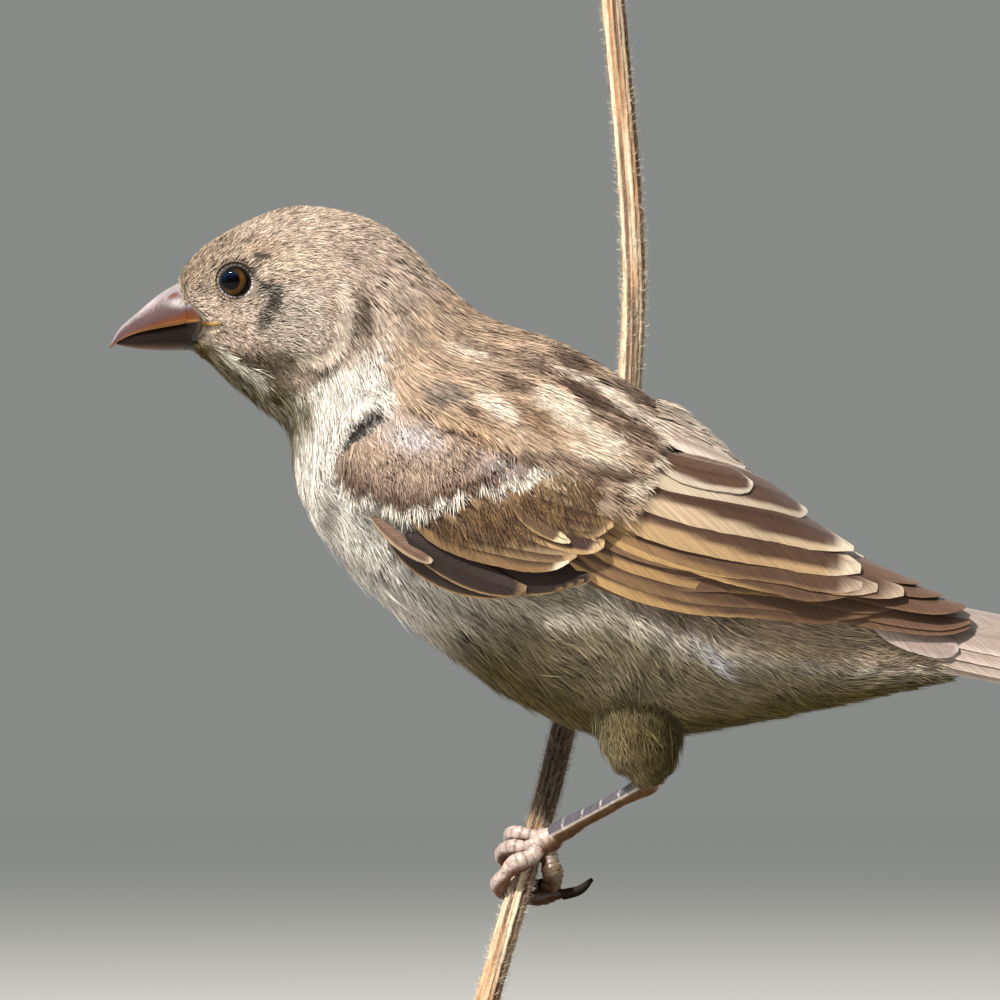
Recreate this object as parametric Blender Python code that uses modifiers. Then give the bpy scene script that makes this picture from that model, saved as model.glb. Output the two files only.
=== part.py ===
"""House sparrow, a still life-size model that grips a cut length of dry stem on a display stand.

The bird faces -X, its left side is at -Y and up is +Z. The origin is the centre of the
underside of the stand's base. Sizes are in millimetres and MM turns them into metres.
"""
from math import cos, pi, radians, sin, sqrt

import bmesh
import bpy
import numpy as np
from mathutils import Matrix, Vector
from mathutils.bvhtree import BVHTree

MM = 0.001
GAP = 0.32  # space kept between two pieces that touch

# Body: sections from the bill's base to the wing tips. Each row gives the outline's
# dorsal point (x, z), its ventral point (x, z), the half width and the roll in degrees
# that turns the back towards the bird's left.
MIDLINE_Y = -4.0
EGG = 0.07  # how much wider a section is below its middle than above it
SECTIONS = {
    "bill_base": ((-43.5, 104.1), (-41.7, 95.9), 3.9, 0),
    "lore": ((-42.0, 106.8), (-39.2, 93.8), 6.6, 0),
    "eye": ((-36.1, 110.6), (-34.0, 89.4), 9.8, 0),
    "crown": ((-29.5, 112.7), (-31.6, 87.6), 11.1, 2),
    "hind_crown": ((-21.6, 111.4), (-30.4, 86.1), 11.5, 3),
    "nape": ((-16.1, 107.8), (-30.0, 83.9), 11.8, 5),
    "neck": ((-8.7, 100.3), (-29.0, 78.1), 13.6, 8),
    "shoulder": ((1.2, 96.6), (-23.3, 69.9), 16.0, 10),
    "breast": ((7.2, 93.2), (-16.9, 64.0), 16.8, 12),
    "back": ((13.3, 88.8), (-9.9, 58.7), 17.0, 12),
    "belly": ((19.1, 83.5), (-1.7, 53.6), 16.4, 12),
    "rump": ((24.7, 78.3), (7.2, 50.5), 15.0, 13),
    "vent": ((30.5, 73.3), (16.9, 51.2), 12.4, 15),
    "tail_coverts": ((41.6, 66.6), (32.9, 54.2), 7.6, 20),
    "tail_base": ((49.6, 63.8), (46.6, 57.1), 5.2, 25),
    "wing_tips": ((53.1, 63.1), (51.9, 56.8), 5.2, 26),
}
STATION = {name: index for index, name in enumerate(SECTIONS)}
BODY_SIDES = 28

# Bill: stations from the base to the tip, each x, outer edge z, cutting edge z, half width.
UPPER_BILL = (
    (-42.7, 103.8, 98.9, 3.7),
    (-45.5, 102.4, 98.4, 3.1),
    (-48.3, 100.2, 97.8, 2.0),
    (-50.3, 98.4, 96.95, 1.0),
    (-51.5, 96.3, 96.0, 0.2),
)
LOWER_BILL = (
    (-42.7, 95.8, 98.5, 3.5),
    (-45.5, 95.8, 98.0, 2.8),
    (-48.3, 96.0, 97.4, 1.8),
    (-49.9, 96.3, 96.8, 0.9),
    (-50.7, 96.5, 96.4, 0.25),
)
BILL_LEAN = -0.22  # slope of the bill's base plane
BILL_LEAN_Z = 98.6  # height at which the stations' x hold
BILL_ARCH_POINTS = 8
BILL_STEPS = 11

EYE_CENTRE = (-36.7, 103.8)
EYE_RADIUS = 2.3
EYE_DEPTH = 1.45  # how far the eye's centre lies below the cheek
EYE_SOCKET_GAP = 0.3

# Wings: upper and lower edges as (station, angle from the middle of the back) points.
WING_TOP_COVERTS = ((6.1, 84), (6.8, 75), (7.7, 66), (8.6, 57), (9.38, 42))
WING_LOW_COVERTS = ((6.5, 121), (7.1, 122), (8.0, 115), (8.9, 102), (9.64, 87))
WING_TOP_FLIGHT = ((9.45, 5), (10.6, 4), (11.8, 3), (12.9, 3), (13.95, 8))
WING_LOW_FLIGHT = ((9.71, 87), (10.7, 79), (11.8, 68), (12.9, 47), (13.98, 20))
COVERTS_THICKNESS = (1.0, 2.2, 2.2, 1.9, 1.6)
FLIGHT_THICKNESS = (1.2, 1.9, 2.1, 2.0, 1.0)
WING_ROWS = 12
WING_COLUMNS = 8
WRIST_BULGE = 0.35  # how far, in stations, the wing's bend reaches ahead of its edges' ends

# Tail: from its base at the end of the coverts to the tip of its middle line.
TAIL_BASE = (49.0, 61.8)
TAIL_TIP = (79.9, 56.6)
TAIL_HALF_WIDTHS = (5.5, 6.1, 6.7, 7.3, 7.5)
TAIL_HALF_THICKNESSES = (1.6, 1.3, 1.0, 0.75, 0.4)
TAIL_ROLL = 30
TAIL_NOTCH = 2.4
TAIL_CORNER = 1.6  # how much shorter the outermost feathers are
TAIL_ARCH = 0.9
TAIL_ROWS = 9
TAIL_COLUMNS = 11
TAIL_LEAN = 0.45  # slope of the tail's base plane, beside the end of the trunk

# Stem: points (x, y, z) of its middle line from the cut lower end to the cut top.
STEM_POINTS = (
    (-8.6, -5.0, 15.5),
    (-3.6, 0.6, 32.5),
    (-0.3, 5.6, 43.3),
    (2.0, 11.2, 52.6),
    (5.0, 17.6, 64.0),
    (8.2, 22.6, 79.0),
    (9.9, 25.6, 97.0),
    (9.8, 27.6, 113.3),
    (7.4, 29.0, 141.0),
)
STEM_RADIUS = 1.45
STEM_STEPS = 28

# Legs: each heel, the height of the grip on the stem and where the ball of the foot lies
# there. Grip points are an angle round the stem, 0 on the bird's left and 90 ahead, a
# height along the stem from the grip and a distance from its middle line.
LEFT_HEEL = (11.9, -11.0, 45.5)
RIGHT_HEEL = (18.6, 4.2, 52.7)
LEFT_GRIP_Z = 37.8
RIGHT_GRIP_Z = 57.2
LEFT_BALL = (-32, 0.1, 3.15)
RIGHT_BALL = (-92, 0.0, 3.15)
TARSUS_RADII = (1.35, 1.0, 0.9, 0.9, 1.0, 1.15, 0.9)
TOE_RADII = (0.62, 0.72, 0.6, 0.7, 0.56, 0.62, 0.5)
HALLUX_RADII = (0.78, 0.86, 0.78, 0.72)
CLAW_RADII = (0.46, 0.42, 0.3, 0.12)
CLAW_STEPS = 6
TARSUS_STEPS = 10
LEFT_TOES = {
    "inner": ((5, 1.15, 2.9), (45, 1.8, 3.5), (85, 1.7, 3.1), (125, 1.5, 2.6), (150, 1.4, 2.5)),
    "middle": ((8, -0.75, 2.9), (45, -0.9, 3.5), (85, -1.0, 3.6), (125, -3.2, 2.8),
               (170, -6.0, 2.6), (208, -6.5, 2.7), (243, -5.7, 4.0), (256, -5.0, 5.4)),
    "outer": ((-12, -2.5, 2.9), (35, -3.9, 3.3), (85, -4.8, 3.1), (130, -7.0, 2.6), (160, -8.0, 2.5)),
    "hallux": ((-58, -2.0, 3.1), (-66, -3.4, 3.7), (-88, -4.2, 3.6), (-113, -4.0, 2.7)),
}
LEFT_CLAWS = {
    "inner": ((159, 1.4, 2.6), (185, 1.2, 3.0), (208, 1.0, 2.4)),
    "middle": ((260, -4.7, 6.2), (264, -3.7, 7.4), (268, -1.9, 8.5)),
    "outer": ((169, -8.5, 2.6), (192, -9.1, 2.9), (214, -9.7, 2.3)),
    "hallux": ((-124, -3.9, 2.7), (-150, -3.6, 3.0), (-172, -3.2, 2.4)),
}
RIGHT_TOES = {
    "inner": ((-132, 1.8, 2.9), (-165, 1.9, 3.4), (-200, 1.8, 3.1), (-232, 1.8, 2.5)),
    "middle": ((-136, 0.0, 2.9), (-170, 0.0, 3.5), (-212, 0.0, 3.1), (-250, 0.0, 2.5)),
    "outer": ((-132, -1.8, 2.9), (-165, -1.9, 3.4), (-200, -1.8, 3.1), (-236, -1.8, 2.5)),
    "hallux": ((-54, -0.4, 2.9), (-37, -0.6, 2.9), (-20, -0.8, 2.75), (-4, -1.0, 2.55)),
}
RIGHT_CLAWS = {
    "inner": ((-241, 1.8, 2.6), (-264, 1.7, 2.9), (-284, 1.6, 2.3)),
    "middle": ((-259, 0.0, 2.6), (-282, 0.0, 2.9), (-303, 0.0, 2.3)),
    "outer": ((-245, -1.8, 2.6), (-266, -1.8, 2.9), (-286, -1.8, 2.3)),
    "hallux": ((6, -1.0, 2.5), (22, -1.0, 2.7), (36, -1.0, 2.3)),
}
LEFT_THIGH = (
    (8.6, -9.0, 59.0, 5.2),
    (10.3, -9.8, 52.5, 5.0),
    (11.0, -10.4, 49.0, 4.3),
    (11.5, -10.8, 47.1, 3.3),
    (11.7, -11.0, 45.9, 2.3),
    (12.0, -11.1, 44.9, 1.3),
)
RIGHT_THIGH = (
    (12.5, 3.0, 60.5, 4.6),
    (15.0, 3.6, 57.0, 4.4),
    (17.0, 4.0, 54.4, 3.2),
    (18.3, 4.2, 52.9, 1.9),
    (18.9, 4.3, 52.1, 1.0),
)

# Stand: a wooden disc, a short brass rod and the ferrule that holds the stem's lower end.
BASE_RADIUS = 42.0
BASE_HEIGHT = 7.0
BASE_BEVEL = 1.2
ROD_RADIUS = 1.6
ROD_TOP_ROOM = 0.9  # space that the leaning ferrule's end needs above the rod
FERRULE_RADIUS = 2.7
FERRULE_LENGTH = 4.8
FERRULE_FLOOR = 1.2  # thickness of the ferrule's closed lower end
FERRULE_EDGE = 0.5


def spline(rows, position):
    """Smooth value at a fractional row number, by a Catmull-Rom curve through the rows."""
    rows = np.asarray(rows, dtype=float)
    last = len(rows) - 1
    position = min(max(position, 0.0), float(last))
    index = min(int(position), last - 1)
    t = position - index
    p1 = rows[index]
    p2 = rows[index + 1]
    p0 = rows[index - 1] if index > 0 else 2 * p1 - p2
    p3 = rows[index + 2] if index + 2 <= last else 2 * p2 - p1
    a = 2 * p1
    b = p2 - p0
    c = 2 * p0 - 5 * p1 + 4 * p2 - p3
    d = 3 * (p1 - p2) + p3 - p0
    return 0.5 * (a + b * t + c * t * t + d * t * t * t)


def along(rows, fraction):
    """Smooth value at a fraction, 0 to 1, of the way through the rows."""
    return spline(rows, fraction * (len(rows) - 1))


SECTION_ROWS = [(*dorsal, *ventral, width, roll) for dorsal, ventral, width, roll in SECTIONS.values()]
LEFT = Vector((0, -1, 0))


def section_frame(station):
    """Middle, back direction, left direction, half height and half width of a section."""
    dx, dz, vx, vz, width, roll = spline(SECTION_ROWS, station)
    back_point = Vector((dx, MIDLINE_Y, dz))
    belly_point = Vector((vx, MIDLINE_Y, vz))
    middle = (back_point + belly_point) / 2
    up = (back_point - belly_point).normalized()
    seen_height = (back_point - belly_point).length / 2
    turn = radians(roll)
    height = sqrt(max(seen_height**2 - (width * sin(turn)) ** 2, 0.3 * seen_height**2)) / cos(turn)
    to_back = up * cos(turn) + LEFT * sin(turn)
    to_left = LEFT * cos(turn) - up * sin(turn)
    return middle, to_back, to_left, height, width


def body_point(station, angle, lift=0.0):
    """Point on the body: angle 0 is the middle of the back, +90 the left side, 180 the belly."""
    middle, to_back, to_left, height, width = section_frame(station)
    a = radians(angle)
    across = (width + lift) * sin(a) * (1 - EGG * cos(a))
    return middle + to_back * ((height + lift) * cos(a)) + to_left * across


def tailward(station):
    """Direction square to a section, towards the tail."""
    _, to_back, to_left, _, _ = section_frame(station)
    return to_back.cross(to_left).normalized()


def material(name, colour, roughness, metallic=0.0):
    """Principled material with one colour."""
    made = bpy.data.materials.new(name)
    made.use_nodes = True
    shader = made.node_tree.nodes["Principled BSDF"]
    shader.inputs["Base Color"].default_value = (*colour, 1.0)
    shader.inputs["Roughness"].default_value = roughness
    shader.inputs["Metallic"].default_value = metallic
    return made


def place(name, mesh, finish, collection):
    """Object of a mesh in a collection, with one material and smooth shading."""
    obj = bpy.data.objects.new(name, mesh)
    collection.objects.link(obj)
    mesh.materials.append(finish)
    mesh.shade_smooth()
    mesh.set_sharp_from_angle(angle=radians(45))
    return obj


def mesh_from(name, points, faces):
    """Mesh in metres from points in millimetres, with its faces turned outwards."""
    mesh = bpy.data.meshes.new(name)
    mesh.from_pydata([tuple(c * MM for c in p) for p in points], [], faces)
    tidy_mesh(mesh)
    return mesh


def tidy_mesh(mesh):
    """Turn a closed mesh's faces outwards."""
    bm = bmesh.new()
    bm.from_mesh(mesh)
    bmesh.ops.recalc_face_normals(bm, faces=bm.faces)
    if bm.calc_volume(signed=True) < 0:
        bmesh.ops.reverse_faces(bm, faces=bm.faces)
    bm.to_mesh(mesh)
    bm.free()


def loft(name, rings):
    """Closed mesh through rings of equally many points, capped at both ends."""
    count = len(rings[0])
    points = [p for ring in rings for p in ring]
    faces = []
    for r in range(len(rings) - 1):
        for k in range(count):
            n = (k + 1) % count
            faces.append((r * count + k, r * count + n, (r + 1) * count + n, (r + 1) * count + k))
    last = (len(rings) - 1) * count
    faces.append(tuple(range(count - 1, -1, -1)))
    faces.append(tuple(last + k for k in range(count)))
    return mesh_from(name, points, faces)


def slab(name, outer, inner):
    """Closed mesh between two equal grids of points, an outer and an inner skin."""
    rows = len(outer)
    columns = len(outer[0])
    offset = rows * columns
    points = [p for row in outer for p in row] + [p for row in inner for p in row]
    faces = []
    for r in range(rows - 1):
        for c in range(columns - 1):
            a = r * columns + c
            b = a + columns
            faces.append((a, a + 1, b + 1, b))
            faces.append((offset + a, offset + b, offset + b + 1, offset + a + 1))
    rim = [c for c in range(columns)]
    rim += [r * columns + columns - 1 for r in range(1, rows)]
    rim += [(rows - 1) * columns + c for c in range(columns - 2, -1, -1)]
    rim += [r * columns for r in range(rows - 2, 0, -1)]
    for k, a in enumerate(rim):
        b = rim[(k + 1) % len(rim)]
        faces.append((a, offset + a, offset + b, b))
    return mesh_from(name, points, faces)


def tube_mesh(name, points, radii, sides=8):
    """Closed round tube along points with a radius at each point."""
    rings = []
    normal = None
    for k, point in enumerate(points):
        ahead = points[min(k + 1, len(points) - 1)]
        behind = points[max(k - 1, 0)]
        tangent = (ahead - behind).normalized()
        if normal is None:
            guide = Vector((0, 1, 0)) if abs(tangent.y) < 0.9 else Vector((1, 0, 0))
            normal = tangent.cross(guide).normalized()
        normal = (normal - tangent * normal.dot(tangent)).normalized()
        other = tangent.cross(normal)
        ring = []
        for s in range(sides):
            a = 2 * pi * s / sides
            ring.append(point + (normal * cos(a) + other * sin(a)) * radii[k])
        rings.append(ring)
    return loft(name, rings)


def smooth_path(rows, steps):
    """Evenly numbered points on a smooth curve through the rows."""
    return [Vector(along(rows, k / (steps - 1))) for k in range(steps)]


def body_piece(name, first, last, rings, finish, collection):
    """Length of the body between two stations, parted from its neighbours by half a gap."""
    made = []
    for r in range(rings):
        station = first + (last - first) * r / (rings - 1)
        shift = Vector((0, 0, 0))
        if r == 0:
            shift = tailward(station) * (GAP / 2)
        if r == rings - 1:
            shift = tailward(station) * (-GAP / 2)
        ring = []
        for k in range(BODY_SIDES):
            ring.append(body_point(station, 360 * k / BODY_SIDES) + shift)
        made.append(ring)
    return place(name, loft(name, made), finish, collection)


def cut(target, cutter):
    """Subtract a cutter object from a target with a Boolean modifier that stays on it."""
    modifier = target.modifiers.new("cut_" + cutter.name, "BOOLEAN")
    modifier.operation = "DIFFERENCE"
    modifier.solver = "EXACT"
    modifier.object = cutter


def as_cutter(name, mesh, collection):
    """Cutter object, kept out of the model."""
    obj = bpy.data.objects.new(name, mesh)
    collection.objects.link(obj)
    obj.hide_render = True
    obj.display_type = "WIRE"
    return obj


def sphere_mesh(name, centre, radii, segments=16, rings=10):
    """Ball or ellipsoid with its centre and radii in millimetres."""
    mesh = bpy.data.meshes.new(name)
    bm = bmesh.new()
    bmesh.ops.create_uvsphere(bm, u_segments=segments, v_segments=rings, radius=MM)
    scale = Matrix.Diagonal((*radii, 1.0))
    move = Matrix.Translation(Vector(centre) * MM)
    bmesh.ops.transform(bm, matrix=move @ scale, verts=bm.verts)
    bm.to_mesh(mesh)
    bm.free()
    return mesh


def add_bill(name, stations, finish, collection):
    """One mandible: arched sections from the base to the tip, flat along the cutting edge."""
    rings = []
    for k in range(BILL_STEPS):
        t = k / (BILL_STEPS - 1)
        x, outer, edge, half = along(stations, t)
        lean = BILL_LEAN * (1 - t) ** 3
        ring = []
        for j in range(BILL_ARCH_POINTS):
            a = pi * j / (BILL_ARCH_POINTS - 1)
            z = edge + (outer - edge) * sin(a) ** 0.8
            ring.append(Vector((x + lean * (z - BILL_LEAN_Z), MIDLINE_Y + half * cos(a), z)))
        rings.append(ring)
    return place(name, loft(name, rings), finish, collection)


def surface_y(mesh, x, z, side):
    """Where a line along Y at x, z meets a mesh on the side -1, left, or +1, right."""
    bm = bmesh.new()
    bm.from_mesh(mesh)
    tree = BVHTree.FromBMesh(bm)
    start = Vector((x, side * BASE_RADIUS, z)) * MM
    hit = tree.ray_cast(start, Vector((0, -side, 0)))
    bm.free()
    return hit[0].y / MM


def add_eye(name, side, head, finish, collection, cutters):
    """Eyeball set in a socket that is cut in the head."""
    x, z = EYE_CENTRE
    y = surface_y(head.data, x, z, side) - side * EYE_DEPTH
    cutter_mesh = sphere_mesh("socket_" + name, (x, y, z), (EYE_RADIUS + EYE_SOCKET_GAP,) * 3)
    cut(head, as_cutter("socket_" + name, cutter_mesh, cutters))
    ball = sphere_mesh(name, (x, y, z), (EYE_RADIUS,) * 3)
    return place(name, ball, finish, collection)


def add_wing_panel(name, side, top, low, thickness, front_bulge, finish, collection):
    """Layer of folded wing over the body's side, between an upper and a lower edge."""
    outer = []
    inner = []
    for r in range(WING_ROWS):
        u = r / (WING_ROWS - 1)
        top_station, top_angle = along(top, u)
        low_station, low_angle = along(low, u)
        thick = float(along([(t,) for t in thickness], u)[0])
        outer_row = []
        inner_row = []
        for c in range(WING_COLUMNS):
            v = c / (WING_COLUMNS - 1)
            station = top_station + (low_station - top_station) * v
            station -= front_bulge * (1 - u) ** 3 * (1 - (2 * v - 1) ** 2)
            angle = side * (top_angle + (low_angle - top_angle) * v)
            crown = 0.45 + 0.55 * sqrt(max(1 - (2 * v - 1) ** 4, 0.0))
            inner_row.append(body_point(station, angle, GAP))
            outer_row.append(body_point(station, angle, GAP + thick * crown))
        outer.append(outer_row)
        inner.append(inner_row)
    return place(name, slab(name, outer, inner), finish, collection)


def add_tail(finish, collection):
    """Folded tail: a thin arched blade that widens to a slightly notched end."""
    base = Vector((TAIL_BASE[0], MIDLINE_Y, TAIL_BASE[1]))
    tip = Vector((TAIL_TIP[0], MIDLINE_Y, TAIL_TIP[1]))
    axis = (tip - base).normalized()
    up = LEFT.cross(axis).normalized()
    if up.z < 0:
        up = -up
    turn = radians(TAIL_ROLL)
    to_back = up * cos(turn) + LEFT * sin(turn)
    to_left = LEFT * cos(turn) - up * sin(turn)
    outer = []
    inner = []
    for r in range(TAIL_ROWS):
        u = r / (TAIL_ROWS - 1)
        half = float(along([(w,) for w in TAIL_HALF_WIDTHS], u)[0])
        thick = float(along([(t,) for t in TAIL_HALF_THICKNESSES], u)[0])
        outer_row = []
        inner_row = []
        for c in range(TAIL_COLUMNS):
            v = 2 * c / (TAIL_COLUMNS - 1) - 1
            notch = TAIL_NOTCH * u**4 * (1 - abs(v)) ** 1.2
            corner = TAIL_CORNER * u**4 * abs(v) ** 5
            middle = base + (tip - base) * u + axis * (GAP - notch - corner)
            middle += to_left * (half * v) - to_back * (TAIL_ARCH * v * v)
            rim = thick * (0.35 + 0.65 * sqrt(1 - v * v))
            for row, point in ((outer_row, middle + to_back * rim), (inner_row, middle - to_back * rim)):
                lean = TAIL_LEAN * (1 - u) ** 3 * (point.z - base.z)
                row.append(point + axis * lean)
        outer.append(outer_row)
        inner.append(inner_row)
    return place("tail", slab("tail", outer, inner), finish, collection)


def stem_at(height):
    """Point on the stem's middle line at a height, and the stem's direction there."""
    low = 0.0
    high = 1.0
    for _ in range(40):
        middle = (low + high) / 2
        if along(STEM_POINTS, middle)[2] < height:
            low = middle
        else:
            high = middle
    step = 0.01
    ahead = Vector(along(STEM_POINTS, high + step))
    behind = Vector(along(STEM_POINTS, high - step))
    return Vector(along(STEM_POINTS, high)), (ahead - behind).normalized()


def grip_point(grip, angle, height, distance):
    """Point round the stem, from the grip's middle and direction."""
    centre, axis = grip
    ahead = Vector((-1, 0, 0))
    ahead = (ahead - axis * ahead.dot(axis)).normalized()
    outward = ahead.cross(axis)
    if outward.y > 0:
        outward = -outward
    a = radians(angle)
    return centre + axis * height + (outward * cos(a) + ahead * sin(a)) * distance


def grip_path(grip, rows, steps):
    """Smooth path round the stem through grip points."""
    return [grip_point(grip, *along(rows, k / (steps - 1))) for k in range(steps)]


def taper(radii, steps):
    """Radius at each step of a limb."""
    return [float(along([(r,) for r in radii], k / (steps - 1))[0]) for k in range(steps)]


def add_foot(word, grip, toes, claws, skin, horn, collection):
    """Four toes wrapped round the stem, each with its claw."""
    for toe, rows in toes.items():
        steps = 3 * len(rows) - 3
        radii = HALLUX_RADII if toe == "hallux" else TOE_RADII
        name = "toe_" + word + "_" + toe
        place(name, tube_mesh(name, grip_path(grip, rows, steps), taper(radii, steps)), skin, collection)
        path = grip_path(grip, claws[toe], CLAW_STEPS)
        name = "claw_" + word + "_" + toe
        place(name, tube_mesh(name, path, taper(CLAW_RADII, CLAW_STEPS), 6), horn, collection)


def add_leg(word, heel, grip, ball, thigh, trunk, skin, plumage, collection, cutters):
    """Feathered thigh let into the trunk, and the tarsus from its heel to the ball of the foot."""
    foot = grip_point(grip, *ball)
    heel = Vector(heel)
    points = [heel + (foot - heel) * (k / (TARSUS_STEPS - 1)) for k in range(TARSUS_STEPS)]
    radii = taper(TARSUS_RADII, TARSUS_STEPS)
    place("tarsus_" + word, tube_mesh("tarsus_" + word, points, radii, 10), skin, collection)
    back = (heel - foot).normalized() * GAP
    wider = [r + GAP for r in radii]
    points[0] = points[0] + back
    cutter = as_cutter("cut_tarsus_" + word, tube_mesh("cut_tarsus_" + word, points, wider, 10), cutters)
    centres = [Vector(row[:3]) for row in thigh]
    widths = [row[3] for row in thigh]
    piece = place("thigh_" + word, tube_mesh("thigh_" + word, centres, widths, 14), plumage, collection)
    cut(piece, cutter)
    centres[0] = centres[0] + (centres[0] - centres[1]).normalized() * GAP
    pocket = tube_mesh("pocket_" + word, centres, [w + GAP for w in widths], 14)
    cut(trunk, as_cutter("pocket_" + word, pocket, cutters))
    cut(trunk, cutter)


def add_stem(finish, collection):
    """Curved dry stem, cut square at both ends."""
    points = smooth_path(STEM_POINTS, STEM_STEPS)
    mesh = tube_mesh("perch_stem", points, [STEM_RADIUS] * len(points), 9)
    place("perch_stem", mesh, finish, collection)


def add_stand(wood, brass, collection):
    """Wooden disc, upright rod and the ferrule round the stem's lower end."""
    mesh = bpy.data.meshes.new("stand_base")
    bm = bmesh.new()
    bmesh.ops.create_cone(bm, cap_ends=True, segments=48, radius1=BASE_RADIUS * MM,
                          radius2=BASE_RADIUS * MM, depth=BASE_HEIGHT * MM)
    bmesh.ops.translate(bm, vec=(0, 0, BASE_HEIGHT * MM / 2), verts=bm.verts)
    bm.to_mesh(mesh)
    bm.free()
    base = place("stand_base", mesh, wood, collection)
    bevel = base.modifiers.new("edge", "BEVEL")
    bevel.width = BASE_BEVEL * MM
    bevel.segments = 1
    bevel.limit_method = "ANGLE"
    foot, axis = stem_at(STEM_POINTS[0][2])
    lower_end = foot - axis * (GAP + FERRULE_FLOOR)
    outer = FERRULE_RADIUS
    bore = STEM_RADIUS + GAP
    profile = (
        (outer - FERRULE_EDGE, 0.0),
        (outer, FERRULE_EDGE),
        (outer, FERRULE_LENGTH),
        (bore, FERRULE_LENGTH),
        (bore, FERRULE_FLOOR),
    )
    sides = 20
    turn = axis.to_track_quat("Z", "X")
    rings = []
    for radius, height in profile:
        ring = []
        for k in range(sides):
            a = 2 * pi * k / sides
            ring.append(lower_end + turn @ Vector((radius * cos(a), radius * sin(a), height)))
        rings.append(ring)
    place("stand_ferrule", loft("stand_ferrule", rings), brass, collection)
    top = lower_end - axis * GAP
    rod = [Vector((top.x, top.y, BASE_HEIGHT + GAP)), Vector((top.x, top.y, top.z - ROD_TOP_ROOM))]
    place("stand_rod", tube_mesh("stand_rod", rod, [ROD_RADIUS] * 2, 16), brass, collection)


def main():
    """Build every sub-part."""
    for obj in list(bpy.data.objects):
        bpy.data.objects.remove(obj, do_unlink=True)
    scene = bpy.context.scene
    model = bpy.data.collections.new("house_sparrow")
    cutters = bpy.data.collections.new("cutters")
    scene.collection.children.link(model)
    scene.collection.children.link(cutters)

    plumage = material("plumage", (0.42, 0.33, 0.25), 0.85)
    wing_brown = material("wing_brown", (0.20, 0.13, 0.09), 0.7)
    horn = material("horn", (0.12, 0.08, 0.06), 0.4)
    eye_dark = material("eye_dark", (0.02, 0.012, 0.01), 0.08)
    skin = material("leg_skin", (0.28, 0.20, 0.17), 0.6)
    straw = material("dry_stem", (0.38, 0.26, 0.16), 0.85)
    wood = material("dark_wood", (0.07, 0.035, 0.02), 0.4)
    brass = material("brass", (0.75, 0.56, 0.25), 0.3, 1.0)

    head = body_piece("head", STATION["bill_base"], STATION["nape"], 14, plumage, model)
    body_piece("neck", STATION["nape"], STATION["neck"], 5, plumage, model)
    trunk = body_piece("trunk", STATION["neck"], STATION["tail_base"], 21, plumage, model)
    add_bill("bill_upper", UPPER_BILL, horn, model)
    add_bill("bill_lower", LOWER_BILL, horn, model)
    add_eye("eye_left", -1, head, eye_dark, model, cutters)
    add_eye("eye_right", 1, head, eye_dark, model, cutters)
    for side, word in ((1, "left"), (-1, "right")):
        add_wing_panel("wing_" + word + "_coverts", side, WING_TOP_COVERTS, WING_LOW_COVERTS,
                       COVERTS_THICKNESS, WRIST_BULGE, wing_brown, model)
        add_wing_panel("wing_" + word + "_flight", side, WING_TOP_FLIGHT, WING_LOW_FLIGHT,
                       FLIGHT_THICKNESS, 0.0, wing_brown, model)
    add_tail(wing_brown, model)
    left_grip = stem_at(LEFT_GRIP_Z)
    right_grip = stem_at(RIGHT_GRIP_Z)
    add_leg("left", LEFT_HEEL, left_grip, LEFT_BALL, LEFT_THIGH, trunk, skin, plumage, model, cutters)
    add_leg("right", RIGHT_HEEL, right_grip, RIGHT_BALL, RIGHT_THIGH, trunk, skin, plumage, model, cutters)
    add_foot("left", left_grip, LEFT_TOES, LEFT_CLAWS, skin, horn, model)
    add_foot("right", right_grip, RIGHT_TOES, RIGHT_CLAWS, skin, horn, model)
    add_stem(straw, model)
    add_stand(wood, brass, model)


main()
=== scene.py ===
"""House sparrow on a dry stem: skin, plumage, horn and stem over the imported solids, in millimetres."""

import bpy
import numpy as np
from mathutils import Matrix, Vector


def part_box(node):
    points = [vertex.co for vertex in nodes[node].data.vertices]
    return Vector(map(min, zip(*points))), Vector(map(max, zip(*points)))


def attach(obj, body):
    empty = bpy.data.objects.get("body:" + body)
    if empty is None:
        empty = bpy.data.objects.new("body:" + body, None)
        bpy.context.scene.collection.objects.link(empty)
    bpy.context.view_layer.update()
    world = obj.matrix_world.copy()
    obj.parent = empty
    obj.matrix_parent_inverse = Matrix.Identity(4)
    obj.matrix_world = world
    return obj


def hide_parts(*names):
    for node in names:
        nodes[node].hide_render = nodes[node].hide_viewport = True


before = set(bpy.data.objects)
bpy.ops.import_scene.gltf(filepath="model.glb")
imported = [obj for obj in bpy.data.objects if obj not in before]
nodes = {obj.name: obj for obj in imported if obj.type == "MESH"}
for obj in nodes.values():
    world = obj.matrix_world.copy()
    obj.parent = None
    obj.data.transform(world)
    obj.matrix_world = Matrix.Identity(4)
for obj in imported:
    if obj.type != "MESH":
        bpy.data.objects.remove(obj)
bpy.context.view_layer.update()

MM = 0.001
TAU = 2 * np.pi

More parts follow.
